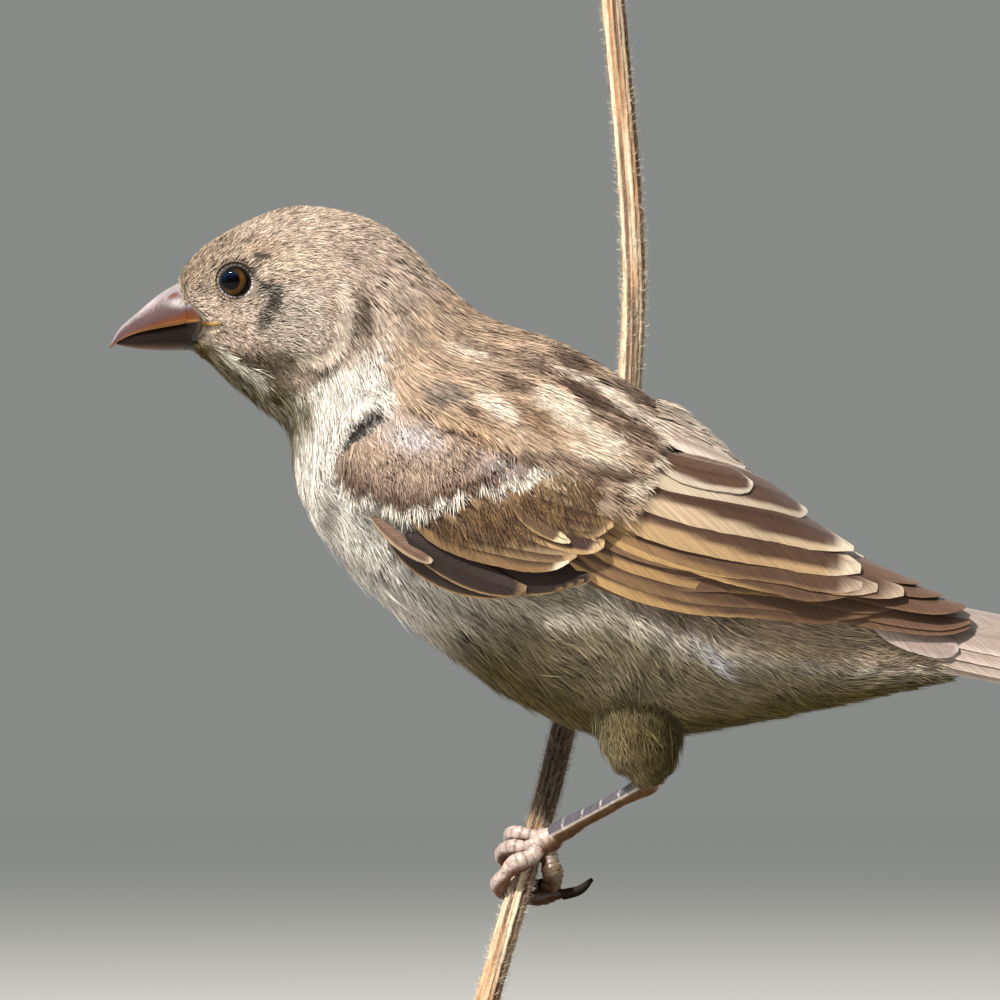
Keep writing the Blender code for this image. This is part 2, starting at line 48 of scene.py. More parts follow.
# --- shapes shared with the solids
MIDLINE_Y = -4.0
EGG = 0.07
BODY_ROWS = np.array([
    # dorsal x, z, ventral x, z, half width, roll
    (-43.5, 104.1, -41.7, 95.9, 3.9, 0), (-42.0, 106.8, -39.2, 93.8, 6.6, 0),
    (-36.1, 110.6, -34.0, 89.4, 9.8, 0), (-29.5, 112.7, -31.6, 87.6, 11.1, 2),
    (-21.6, 111.4, -30.4, 86.1, 11.5, 3), (-16.1, 107.8, -30.0, 83.9, 11.8, 5),
    (-8.7, 100.3, -29.0, 78.1, 13.6, 8), (1.2, 96.6, -23.3, 69.9, 16.0, 10),
    (7.2, 93.2, -16.9, 64.0, 16.8, 12), (13.3, 88.8, -9.9, 58.7, 17.0, 12),
    (19.1, 83.5, -1.7, 53.6, 16.4, 12), (24.7, 78.3, 7.2, 50.5, 15.0, 13),
    (30.5, 73.3, 16.9, 51.2, 12.4, 15), (41.6, 66.6, 32.9, 54.2, 7.6, 20),
    (49.6, 63.8, 46.6, 57.1, 5.2, 25), (53.1, 63.1, 51.9, 56.8, 5.2, 26),
])
LAST_STATION = 15.0
EYE_XZ = (-36.7, 103.8)
LEFT_THIGH = np.array([(8.6, -9.0, 59.0, 5.2), (10.3, -9.8, 52.5, 5.0), (11.0, -10.4, 49.0, 4.3),
                       (11.5, -10.8, 47.1, 3.3), (11.7, -11.0, 45.9, 2.3), (12.0, -11.1, 44.9, 1.3)])
RIGHT_THIGH = np.array([(12.5, 3.0, 60.5, 4.6), (15.0, 3.6, 57.0, 4.4), (17.0, 4.0, 54.4, 3.2),
                        (18.3, 4.2, 52.9, 1.9), (18.9, 4.3, 52.1, 1.0)])
STEM_ROWS = np.array([(-8.6, -5.0, 15.5), (-3.6, 0.6, 32.5), (-0.3, 5.6, 43.3), (2.0, 11.2, 52.6),
                      (5.0, 17.6, 64.0), (8.2, 22.6, 79.0), (9.9, 25.6, 97.0), (9.8, 27.6, 113.3),
                      (7.4, 29.0, 141.0)])
STEM_RADIUS = 1.45
TAIL_BASE = np.array((49.0, MIDLINE_Y, 61.8))
TAIL_TIP = np.array((79.9, MIDLINE_Y, 56.6))
TAIL_HALF_WIDTHS = np.array([5.5, 6.1, 6.7, 7.3, 7.5])[:, None]
TAIL_THICKNESSES = np.array([1.5, 1.25, 0.95, 0.7, 0.35])[:, None]
TAIL_ROLL = 30
UPPER_BILL = np.array([(-41.0, 104.2, 99.4, 3.9), (-42.7, 103.8, 98.9, 3.7), (-45.5, 102.4, 98.4, 3.1),
                       (-48.3, 100.2, 97.8, 2.0), (-50.3, 98.4, 96.95, 1.0), (-51.5, 96.3, 96.0, 0.12)])
LOWER_BILL = np.array([(-41.0, 95.4, 98.6, 3.6), (-42.7, 95.8, 98.5, 3.5), (-45.5, 95.8, 98.0, 2.8),
                       (-48.3, 96.0, 97.4, 1.8), (-49.9, 96.3, 96.8, 0.9), (-50.7, 96.5, 96.4, 0.2)])


def spline(table, place):
    """Smooth rows of a table at fractional row numbers, by a Catmull-Rom curve."""
    table = np.asarray(table, float)
    place = np.asarray(place, float)
    last = len(table) - 1
    ends = np.vstack([2 * table[0] - table[1], table, 2 * table[-1] - table[-2]])
    place = np.clip(place, 0, last)
    index = np.minimum(place.astype(int), last - 1)
    t = (place - index)[..., None]
    p0, p1, p2, p3 = (ends[index + k] for k in range(4))
    return 0.5 * (2 * p1 + (p2 - p0) * t + (2 * p0 - 5 * p1 + 4 * p2 - p3) * t**2
                  + (3 * (p1 - p2) + p3 - p0) * t**3)


def unit(v):
    """Vectors of length one."""
    return v / np.maximum(np.linalg.norm(v, axis=-1, keepdims=True), 1e-9)


def step(low, high, value):
    """Smooth rise from 0 to 1 as a value goes from low to high."""
    t = np.clip((value - low) / (high - low), 0, 1)
    return t * t * (3 - 2 * t)


def blob(x, z, cx, cz, rx, rz, turn=0.0, soft=0.5):
    """Soft oval, 1 at its middle and 0 outside, in side view."""
    c, s = np.cos(np.radians(turn)), np.sin(np.radians(turn))
    u = ((x - cx) * c + (z - cz) * s) / rx
    v = (-(x - cx) * s + (z - cz) * c) / rz
    return 1 - step(1 - soft, 1, np.sqrt(u * u + v * v))


def wrap(a):
    """The same angle between -180 and 180."""
    return (np.asarray(a) + 180) % 360 - 180


def fold(a):
    """Angle from the middle of the back, alike on both sides."""
    return np.abs(wrap(a))


LEFT = np.array((0.0, -1.0, 0.0))
UP = np.array((0.0, 0.0, 1.0))


def plain_body(s, a, lift=0.0):
    """Point on the body: station s, angle a from the middle of the back, + to the left, 180 the belly."""
    s, a = np.broadcast_arrays(np.asarray(s, float), np.asarray(a, float))
    over = np.maximum(s - LAST_STATION, 0)[..., None]
    row = spline(BODY_ROWS, s)
    dorsal = np.stack([row[..., 0], np.full_like(s, MIDLINE_Y), row[..., 1]], -1)
    ventral = np.stack([row[..., 2], np.full_like(s, MIDLINE_Y), row[..., 3]], -1)
    across = dorsal - ventral
    seen = np.linalg.norm(across, axis=-1) / 2
    up = unit(across)
    turn = np.radians(row[..., 5])
    width = row[..., 4]
    height = np.sqrt(np.maximum(seen**2 - (width * np.sin(turn))**2, 0.3 * seen**2)) / np.cos(turn)
    c, n = np.cos(turn)[..., None], np.sin(turn)[..., None]
    to_back = up * c + LEFT * n
    to_left = LEFT * c - up * n
    r = np.radians(a)
    back = ((height + lift) * np.cos(r))[..., None]
    left = ((width + lift) * np.sin(r) * (1 - EGG * np.cos(r)))[..., None]
    return (dorsal + ventral) / 2 + to_back * back + to_left * left + over * (3.4, 0, -0.9)


def side_view(s, a):
    """Where a place, or its twin on the left, lies in side view: x and z."""
    p = plain_body(s, fold(a))
    return p[..., 0], p[..., 2]


SWELLINGS = (
    # lift, x, z, half length, half height, turn, softness
    (-0.55, -22.7, 97.4, 1.1, 5.2, 14, 0.8), (-0.5, -36.7, 103.8, 3.2, 3.0, 0, 0.7),
    (0.35, -36.5, 107.2, 4.0, 1.2, 8, 0.8), (-0.35, -40.5, 102.2, 1.6, 1.6, 0, 0.9),
    (-0.4, -43.0, 106.0, 3.0, 3.4, 0, 0.9), (1.0, -26.0, 81.0, 2.6, 9.0, -8, 0.9),
)


def relief(s, a):
    """How far the feathered form swells or sinks from the plain sections."""
    x, z = side_view(s, a)
    out = 0.65 * blob(x, z, -29.4, 99.0, 6.3, 4.7, -10, 0.35) * step(-36.0, -31.0, x)
    for lift, *oval in SWELLINGS:
        out = out + lift * blob(x, z, *oval)
    return out


def body(s, a, lift=0.0):
    """Point on the feathered form, with its swellings."""
    return plain_body(s, a, lift + relief(s, a))


def tube(rows, radius=None):
    """Form round a line: s along its rows, a round it from the left side. Rows may end with a radius."""
    def form(s, a, lift=0.0):
        s, a = np.broadcast_arrays(np.asarray(s, float), np.asarray(a, float))
        row = spline(rows, s)
        axis = unit(spline(rows, s + 0.05)[..., :3] - spline(rows, s - 0.05)[..., :3])
        side = unit(LEFT - axis * (axis @ LEFT)[..., None])
        ahead = np.cross(axis, side)
        r = np.radians(a)
        out = side * np.cos(r)[..., None] + ahead * np.sin(r)[..., None]
        wide = row[..., 3] if radius is None else radius
        return row[..., :3] + out * (wide + lift + 0 * s)[..., None]
    return form


stem_form = tube(STEM_ROWS, STEM_RADIUS)


def tail_form(s, a, lift=0.0):
    """Surface of the tail: s from base 0 to tip 1, a -1 at its right edge, 1 at its left one, 2 below."""
    s, a = np.broadcast_arrays(np.asarray(s, float), np.asarray(a, float))
    axis = unit(TAIL_TIP - TAIL_BASE)
    up = unit(np.cross(LEFT, axis))
    up = up * np.sign(up[2])
    turn = np.radians(TAIL_ROLL)
    to_back = up * np.cos(turn) + LEFT * np.sin(turn)
    to_left = LEFT * np.cos(turn) - up * np.sin(turn)
    half = spline(TAIL_HALF_WIDTHS, s * 4)[..., 0]
    middle = TAIL_BASE + (TAIL_TIP - TAIL_BASE) * s[..., None]
    thick = spline(TAIL_THICKNESSES, s * 4)[..., 0]
    side, back = np.sin(a * np.pi / 2), np.cos(a * np.pi / 2)
    return (middle + to_left * ((half + lift) * side)[..., None]
            + to_back * ((thick + lift) * back - 0.9 * side**2)[..., None])


def metric(form, s, a, ds=0.02, da=1.0):
    """Change of place for each unit of s and of a, and the outward direction."""
    ps = (form(s + ds, a) - form(s - ds, a)) / (2 * ds)
    pa = (form(s, a + da) - form(s, a - da)) / (2 * da)
    return ps, pa, unit(np.cross(pa, ps))


def solve(ps, pa, v):
    """How much of s and of a gives a step v on the surface."""
    aa, ab, bb = (ps * ps).sum(-1), (ps * pa).sum(-1), (pa * pa).sum(-1)
    d, e = (v * ps).sum(-1), (v * pa).sum(-1)
    det = np.maximum(aa * bb - ab * ab, 1e-9)
    return np.clip((d * bb - e * ab) / det, -0.8, 0.8), np.clip((e * aa - d * ab) / det, -25, 25)


def heading(form, s, a, phi):
    """Steps (s, a) for a millimetre along and across the lie, and the outward direction.

    The lie is phi degrees from the form's own direction, turned towards the belly on either side."""
    flat = form is tail_form
    ps, pa, normal = metric(form, s, a, 0.01 if flat else 0.02, 0.02 if flat else 1.0)
    sign = np.where(a >= 0, 1, -1)
    e1 = unit(ps)
    e2 = np.cross(e1, normal)
    e2 = e2 * np.sign((e2 * pa).sum(-1) * sign)[:, None]
    r = np.radians(phi)[:, None] if np.ndim(phi) else np.radians(phi)
    ahead = solve(ps, pa, e1 * np.cos(r) + e2 * np.sin(r))
    across = solve(ps, pa, e2 * np.cos(r) - e1 * np.sin(r))
    return ahead, across, normal


# --- colours
def rgb(r, g, b):
    """Linear colour from display values."""
    v = np.array((r, g, b)) / 255
    return np.where(v <= 0.04045, v / 12.92, ((v + 0.055) / 1.055)**2.4)


def mix(one, other, t):
    """Blend of colours."""
    t = np.asarray(t)[..., None]
    return one * (1 - t) + other * t


CROWN = rgb(198, 177, 158)
FOREHEAD = rgb(174, 153, 129)
BROW = rgb(208, 189, 166)
WARM = rgb(176, 142, 108)
CHEEK = rgb(196, 180, 165)
DARK_GREY = rgb(92, 84, 76)
# Throat, flank, belly and vent colours carry painted shade: the plumage's own pale colour darkened, with an
# olive cast.
THROAT_IN_PAINTED_SHADE = rgb(100, 83, 40)
# Malar: a dark mark, enlarged and deepened as painted shadow under the cheek.
MALAR_MARK_AND_PAINTED_SHADOW = rgb(64, 50, 30)
BREAST = rgb(230, 222, 212)
FLANK_IN_PAINTED_SHADE = rgb(138, 125, 100)
BELLY_IN_PAINTED_SHADE = rgb(100, 86, 46)
VENT_IN_PAINTED_SHADE = rgb(89, 76, 26)
BACK = rgb(184, 161, 140)
RUMP = rgb(166, 146, 124)


def ripple(s, a, seed, fine=1.0):
    """Smooth uneven field between about -1 and 1."""
    rng = np.random.default_rng(seed)
    x, z = side_view(s, a)
    out = 0
    for _ in range(6):
        d = rng.uniform(0, TAU)
        f = rng.uniform(0.25, 1.1) * fine
        out = out + np.sin((x * np.cos(d) + z * np.sin(d)) * f + rng.uniform(0, TAU) + np.sign(a) * 2)
    return out / 6


def dabs(c, x, z, marks):
    """Colours with soft oval marks laid on them in turn."""
    for tone, strength, *oval in marks:
        c = mix(c, tone, blob(x, z, *oval) * strength)
    return c


# Brown of the painted shadow under the ear coverts' rim, also used for a mark on the forehead.
SHADOW_AND_MARK_BROWN = rgb(104, 88, 70)
CHEEK_MARKS = (
    # colour, strength, x, z, half length, half height, turn, softness
    (CHEEK, 1, -28.5, 98.8, 7.5, 5.6, -10, 0.6), (BROW, 0.8, -29.5, 106.2, 8.5, 1.9, -6, 0.8),
    (WARM, 0.4, -33.0, 107.6, 4.0, 2.2, 0, 0.9),
)
WING_EDGE_MARKS = (
    # Painted shadow of the wing on the upper flank.
    (rgb(52, 47, 44), 0.95, 20.0, 64.4, 16.0, 1.7, -4, 0.8),
    # Painted bluish-white highlight on the silky flank locks.
    (rgb(224, 224, 228), 1, 19.4, 60.0, 5.0, 0.75, -48, 0.6),
    (rgb(222, 210, 194), 0.9, 1.5, 64.6, 8.0, 2.2, -12, 0.8),
    (rgb(190, 172, 134), 0.8, 28.0, 61.0, 8.0, 2.0, -12, 0.8),
    # Painted bluish-white highlight on the front of the belly.
    (rgb(210, 210, 214), 0.7, -27.6, 67.5, 4.5, 0.9, -58, 0.8),
)
FACE_MARKS = (
    (DARK_GREY, 0.4, -32.4, 101.2, 2.0, 2.9, 25, 0.8), (DARK_GREY, 0.45, -40.2, 103.2, 1.5, 1.0, 35, 0.9),
    # Painted shadow behind and below the pale rear rim of the ear coverts.
    (rgb(92, 76, 62), 0.9, -21.3, 98.9, 2.0, 6.2, 6, 0.9), (SHADOW_AND_MARK_BROWN, 0.8, -25.6, 92.9, 4.6, 1.5, 28, 0.9),
    (WARM, 0.5, -25.0, 100.0, 1.1, 2.8, 0, 0.9), (rgb(118, 100, 82), 0.6, -16.0, 99.5, 4.5, 3.0, -45, 0.9),
    (BREAST, 0.6, -20.5, 90.0, 6.0, 3.0, 40, 0.9), (DARK_GREY * 0.7, 1, -33.2, 106.8, 1.5, 0.85, -10, 0.6),
    (SHADOW_AND_MARK_BROWN, 0.5, -38.5, 108.2, 3.6, 0.9, 38, 0.9),
    (rgb(120, 103, 86), 0.6, -22.5, 106.5, 4.2, 1.0, -38, 0.9),
)


def markings(s, a):
    """Colour of the plumage at a place on the body, with painted shade over the throat and underparts, and
    painted shadows and highlights laid on.
    """
    x, z = side_view(s, a)
    b = fold(a)
    c = mix(CROWN, FOREHEAD, step(2.6, 1.0, s) * step(90, 40, b))
    c = dabs(c, x, z, CHEEK_MARKS)
    c = mix(c, THROAT_IN_PAINTED_SHADE, step(120, 140, b) * step(6, 4.5, s))
    c = mix(c, MALAR_MARK_AND_PAINTED_SHADOW, blob(x, z, -33.5, 93.9, 9.0, 2.7, -4, 0.8) * 0.85)
    pale = step(0.9, -0.9, z - 90.7 - 0.5 * (x + 29.0)) * step(3.8, 4.8, s) * step(7.0, 6.2, s)
    c = mix(c, BREAST, pale * step(45, 80, b) * step(-14.0, -20.0, x) * 0.9)
    for tone, stations, angles in ((BREAST, (5.2, 6.2), (70, 95)), (BACK, (5.4, 6.6), (95, 70)),
                                   (FLANK_IN_PAINTED_SHADE, (8.0, 9.5), (80, 100)), (BELLY_IN_PAINTED_SHADE, (8.0, 9.5), (112, 145)),
                                   (VENT_IN_PAINTED_SHADE, (11.5, 13.0), (100, 130))):
        c = mix(c, tone, step(*stations, s) * step(*angles, b))
    c = dabs(c, x, z, WING_EDGE_MARKS)
    c = mix(c, RUMP, step(9.0, 10.5, s) * step(90, 70, b))
    c = dabs(c, x, z, FACE_MARKS)
    return c * (1 + 0.07 * ripple(s, a, 5))[..., None]


# --- meshes
def build(name, points, face_sets, colours, uv, material, lie=None):
    """Object in metres from arrays in millimetres, with its markings and its map."""
    mesh = bpy.data.meshes.new(name)
    points = points.reshape(-1, 3)
    face_sets = [f.reshape(-1, f.shape[-1]) for f in face_sets if f.size]
    loops = np.concatenate([f.ravel() for f in face_sets]).astype(np.int32)
    sizes = np.concatenate([np.full(len(f), f.shape[1]) for f in face_sets])
    starts = np.concatenate([[0], np.cumsum(sizes)[:-1]]).astype(np.int32)
    mesh.vertices.add(len(points))
    mesh.vertices.foreach_set("co", (points * MM).astype(np.float32).ravel())
    mesh.loops.add(len(loops))
    mesh.loops.foreach_set("vertex_index", loops)
    mesh.polygons.add(len(starts))
    mesh.polygons.foreach_set("loop_start", starts)
    mesh.update(calc_edges=True)
    mesh.polygons.foreach_set("use_smooth", np.ones(len(starts), bool))
    paint = mesh.attributes.new("markings", "FLOAT_COLOR", "POINT")
    full = np.ones((len(points), 4), np.float32)
    full[:, :3] = np.clip(colours.reshape(-1, 3), 0, 1)
    paint.data.foreach_set("color", full.ravel())
    layer = mesh.uv_layers.new(name="OFBake")
    layer.data.foreach_set("uv", uv.reshape(-1, 2)[loops].astype(np.float32).ravel())
    if lie is not None:
        held = mesh.attributes.new("lie", "FLOAT_VECTOR", "POINT")
        held.data.foreach_set("vector", lie.reshape(-1, 3).astype(np.float32).ravel())
    mesh.materials.append(material)
    obj = bpy.data.objects.new(name, mesh)
    bpy.context.scene.collection.objects.link(obj)
    return obj


def grid_faces(rows, columns, count=1):
    """Quads of one or several grids of points."""
    r, c = np.meshgrid(np.arange(rows - 1), np.arange(columns - 1), indexing="ij")
    a = (r * columns + c).ravel()
    one = np.stack([a, a + 1, a + columns + 1, a + columns], -1)
    return (one[None] + (np.arange(count) * rows * columns)[:, None, None]).reshape(-1, 4)


def ribbon_faces(count, steps):
    """Quads and tip triangles of ribbons with two points at each step and one at the tip."""
    size = 2 * steps - 1
    k = np.arange(steps - 2)
    quads = np.stack([2 * k, 2 * k + 1, 2 * k + 3, 2 * k + 2], -1)
    tip = np.array([[2 * steps - 4, 2 * steps - 3, 2 * steps - 2]])
    base = (np.arange(count) * size)[:, None, None]
    return (quads[None] + base).reshape(-1, 4), (tip[None] + base).reshape(-1, 3)


def body_map(s, a):
    """Place on the unwrap of the skin."""
    return np.stack([0.01 + 0.98 * s / LAST_STATION, 0.01 + 0.98 * ((a + 180) % 360) / 360], -1)


PATCH = 0.0015  # half size of a barb's spot on the map


class Strands:
    """Collects ribbons over the forms and joins them in one piece."""

    def __init__(self):
        self.parts = []

    def add(self, form, s, a, phi, length, width, low, high, root, tip, roll=0.0, steps=4, curl=0.0,
            where=None):
        """Ribbons rooted at s, a that lie at phi degrees to the form's own direction."""
        n = len(s)
        (ds, da), (cs, ca), normal = heading(form, s, a, phi)
        t = np.linspace(0, 1, steps)
        bend = (np.broadcast_to(curl, (n,)) * length)[:, None] * t**2
        ss = s[:, None] + ds[:, None] * length[:, None] * t + cs[:, None] * bend
        aa = a[:, None] + da[:, None] * length[:, None] * t + ca[:, None] * bend
        low = np.broadcast_to(low, (n,))[:, None]
        high = np.broadcast_to(high, (n,))[:, None]
        line = form(ss, aa, low + (high - low) * t**0.8)
        along = unit(np.gradient(line, axis=1))
        out = np.broadcast_to(normal[:, None], line.shape)
        side = unit(np.cross(out, along))
        q = np.radians(np.broadcast_to(roll, (n,)))[:, None, None]
        side = side * np.cos(q) + out * np.sin(q)
        taper = np.array([0.7, 1.0, 0.8, 0.5, 0.3])[:steps - 1] if steps > 3 else np.array([0.9, 0.8])
        half = (width[:, None] * taper / 2)[..., None]
        pairs = np.stack([line[:, :-1] - side[:, :-1] * half, line[:, :-1] + side[:, :-1] * half], 2)
        points = np.concatenate([pairs.reshape(n, -1, 3), line[:, -1:]], 1)
        shade = root[:, None] * (1 - t)[:, None] + tip[:, None] * t[:, None]
        colours = np.concatenate([np.repeat(shade[:, :-1], 2, 1), shade[:, -1:]], 1)
        spot = body_map(s, a) if where is None else where
        x = np.concatenate([np.tile([-1.0, 1.0], steps - 1), [0.0]]) * PATCH
        y = np.concatenate([np.repeat(t[:-1], 2), [1.0]]) * 2 * PATCH - PATCH
        uv = np.clip(spot[:, None] + np.stack([x, y], -1)[None], 0.001, 0.999)
        self.parts.append((points, colours, uv, steps))

    def piece(self, name, material):
        """One object of all the ribbons."""
        quads, tris, at = [], [], 0
        for points, _, _, steps in self.parts:
            q, t = ribbon_faces(len(points), steps)
            quads.append(q + at)
            tris.append(t + at)
            at += points.shape[0] * points.shape[1]
        points = np.concatenate([p[0].reshape(-1, 3) for p in self.parts])
        colours = np.concatenate([p[1].reshape(-1, 3) for p in self.parts])
        uv = np.concatenate([p[2].reshape(-1, 2) for p in self.parts])
        return build(name, points, [np.concatenate(quads), np.concatenate(tris)], colours, uv, material)


# --- materials
def node(tree, kind, inputs, **settings):
    """Output of a new shader node. An input takes a value or the socket that feeds it."""
    made = tree.nodes.new("ShaderNode" + kind)
    for key, value in settings.items():
        setattr(made, key, value)
    for key, value in inputs.items():
        if isinstance(value, bpy.types.NodeSocket):
            tree.links.new(value, made.inputs[key])
        else:
            made.inputs[key].default_value = value
    return next(socket for socket in made.outputs if socket.enabled)


def principled(name, inputs):
    """New material, its tree and its shader."""
    made = bpy.data.materials.new(name)
    made.use_nodes = True
    shader = made.node_tree.nodes["Principled BSDF"]
    for key, value in inputs.items():
        shader.inputs[key].default_value = value
    return made, made.node_tree, shader


def speckle(tree, place, scale, detail, stretch):
    """Noise over a place."""
    spread = node(tree, "Mapping", {"Vector": place, "Scale": stretch})
    return node(tree, "TexNoise", {"Vector": spread, "Scale": scale, "Detail": detail})


def in_object(tree):
    """Place in the object's space."""
    made = tree.nodes.new("ShaderNodeTexCoord")
    return made.outputs["Object"]


def ramp(tree, value, start, end, low, high):
    """Values from start to end, taken to low to high."""
    return node(tree, "MapRange", {"Value": value, "From Min": start, "From Max": end, "To Min": low,
                                   "To Max": high})


def attribute(tree, name, output):
    """Output of a mesh attribute."""
    made = tree.nodes.new("ShaderNodeAttribute")
    made.attribute_name = name
    return made.outputs[output]


def bump(tree, shader, height, strength, distance):
    """Bump from a height socket."""
    made = node(tree, "Bump", {"Strength": strength, "Distance": distance, "Height": height})
    tree.links.new(made, shader.inputs["Normal"])


def shaded(tree, shader, shade):
    """Give the shader the markings, multiplied by a shade."""
    paint = attribute(tree, "markings", "Color")
    tree.links.new(node(tree, "VectorMath", {"Vector": paint, "Scale": shade}, operation="SCALE"),
                   shader.inputs["Base Color"])


def painted(name, roughness, specular, scale, low, high, relief=None, stretch=(1, 1, 1), sheen=0.0, coat=0.0,
            **more):
    """Material of the markings, broken up by noise from low to high, with relief (strength, distance)."""
    made, tree, shader = principled(name, {
        "Roughness": roughness, "Specular IOR Level": specular, "Sheen Weight": sheen, "Coat Weight": coat,
        **{key.replace("_", " "): value for key, value in more.items()}})
    noise = speckle(tree, in_object(tree), scale, 3.0, stretch)
    shaded(tree, shader, ramp(tree, noise, 0.3, 0.7, low, high))
    if relief:
        bump(tree, shader, noise, *relief)
    return made


BARB_TURN = 23.0  # radians in a millimetre along the lie
BARB_SWAY = 9.0  # radians by which noise shifts the barbs


def vane_material(name, roughness, specular):
    """Finish of the vanes: barb lines from the lie of each feather, in colour and bump."""
    made, tree, shader = principled(name, {"Roughness": roughness, "Specular IOR Level": specular,
                                           "Sheen Weight": 0.02})
    lie = attribute(tree, "lie", "Vector")
    noise = speckle(tree, lie, 1.0, 2.0, (0.3, 3.8, 1.0))
    parts = tree.nodes.new("ShaderNodeSeparateXYZ")
    tree.links.new(lie, parts.inputs["Vector"])
    sway = node(tree, "Math", {0: noise, 1: BARB_SWAY}, operation="MULTIPLY")
    turn = node(tree, "Math", {0: parts.outputs["Y"], 1: BARB_TURN, 2: sway}, operation="MULTIPLY_ADD")
    wave = node(tree, "Math", {0: turn}, operation="SINE")
    lines = ramp(tree, wave, -1.0, 1.0, 0.74, 1.22)
    uneven = ramp(tree, noise, 0.3, 0.7, 0.8, 1.18)
    shaded(tree, shader, node(tree, "Math", {0: lines, 1: uneven}, operation="MULTIPLY"))
    bump(tree, shader, lines, 0.5, 0.00006)
    return made


PLUMAGE = painted("plumage_soft", 0.75, 0.12, 900.0, 0.82, 1.16, sheen=0.06)
SILK = painted("plumage_silky", 0.65, 0.12, 900.0, 0.82, 1.16, sheen=0.06)
VANES = vane_material("flight_vanes", 0.55, 0.18)
BARBS = painted("covert_barbs", 0.6, 0.12, 900.0, 0.82, 1.16, sheen=0.06)


def finish(obj, slot, *replaced):
    """Attach a piece to the root and hide the solids it replaces."""
    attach(obj, "root")
    if replaced:
        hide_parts(*replaced)
    return obj


# --- skin
def depth(s, a):
    """Depth of the coat over the skin."""
    d = 0.45 + 0.55 * step(0.3, 3.0, s) + 0.5 * step(4.0, 6.0, s)
    d = d + 0.9 * step(6.0, 8.0, s) * step(70, 110, fold(a))
    return d * (1 - 0.6 * step(12.0, 14.5, s))


def sheet(s_range, a_range, rows, columns, **ends):
    """Even grid of stations and angles."""
    s = np.linspace(*s_range, rows)[:, None] * np.ones(columns)
    return s, np.linspace(*a_range, columns, **ends)[None] * np.ones((rows, 1))


def join(grids, name, material):
    """One object of several grids, each of points, colours and places on the map."""
    faces, at = [], 0
    for points, _, _ in grids:
        rows, columns = points.shape[:2]
        faces.append(grid_faces(rows, columns) + at)
        at += rows * columns
    points, colours, uv = (np.concatenate([np.reshape(grid[k], (-1, width)) for grid in grids])
                           for k, width in enumerate((3, 3, 2)))
    return build(name, points, faces, colours, uv, material)


THIGHS = ((LEFT_THIGH, 10.6, 1300), (RIGHT_THIGH, 11.0, 520))  # rows, station on the map, feathers


def thigh_map(station, s, a):
    """Place of a thigh on the unwrap of the skin."""
    return body_map(station + s * 0.05, 150 + a * 0.05)


SKIN_STATIONS = (0.0, 14.1)
# Painted shade: the skin under the plumage keeps this share of the plumage's colour, so that the gaps between
# the feathers read as shade.
PAINTED_GAP_SHADE_ON_SKIN = 0.32  # of the plumage's own colour
SEAM_SIDE = 1e-6  # keeps both edges of the skin's seam apart on the map


def make_skin():
    """One skin under the plumage of head, neck, trunk and thighs."""
    s, a = sheet(SKIN_STATIONS, (-180, 180), 230, 129)
    points = body(s, a, -depth(s, a))
    points[0] = points[0].mean(0) + (points[0] - points[0].mean(0)) * 0.2
    points[-1] = points[-1].mean(0)
    grids = [(points, markings(s, a) * PAINTED_GAP_SHADE_ON_SKIN, body_map(s, a - SEAM_SIDE))]
    for rows, station, _ in THIGHS:
        s, a = sheet((0, len(rows) - 1), (0, 360), 30, 33)
        points = tube(rows)(s, a, -0.35)
        points[-1] = points[-1].mean(0)
        # The thighs' skin, at half the flank colour, is painted shade in the gaps between their feathers too.
        grids.append((points, np.tile(FLANK_IN_PAINTED_SHADE * 0.5, (s.size, 1)), thigh_map(station, s, a)))
    obj = join(grids, "skin", painted("skin", 0.8, 0.2, 700.0, 0.75, 1.15, (0.6, 0.0002), sheen=0.1))
    finish(obj, "plumage", "head", "neck", "trunk", "thigh_left", "thigh_right")


make_skin()


# --- soft plumage
def scatter(rng, form, count, s_range, a_range, keep=None):
    """Roots spread evenly over a form's area, thinned by keep."""
    s_all, a_all = [], []
    have = 0
    while have < count:
        s = rng.uniform(*s_range, count * 3)
        a = rng.uniform(*a_range, count * 3)
        ps, pa, _ = metric(form, s, a)
        area = np.linalg.norm(np.cross(ps, pa), axis=-1)
        chance = area / np.percentile(area, 99)
        if keep is not None:
            chance = chance * keep(s, a)
        ok = rng.uniform(0, 1, count * 3) < chance
        s_all.append(s[ok])
        a_all.append(a[ok])
        have += ok.sum()
    return np.concatenate(s_all)[:count], np.concatenate(a_all)[:count]


TIP_ROUNDING = 0.22  # how much shorter a fan's outer barbs are
DOME = 0.45  # how much lower they lie
BARB_STRAY = 4.0  # degrees by which the barbs of a fan stray from it
BARB_ROLL = 24  # degrees by which they turn about their length
BARB_CURL = 0.05
# Barbs drawn dark as painted shade between the strands keep this share of their colour.
GAP_SHADE = 0.36  # of the barbs that look like gaps
MIDDLE_WIDTH = 0.35  # of the dark streak along a feather


def drawn(draw, value, n):
    """Values for n feathers, drawn at random where a pair is given."""
    return draw(*value, n) if isinstance(value, tuple) else np.broadcast_to(value, (n,))


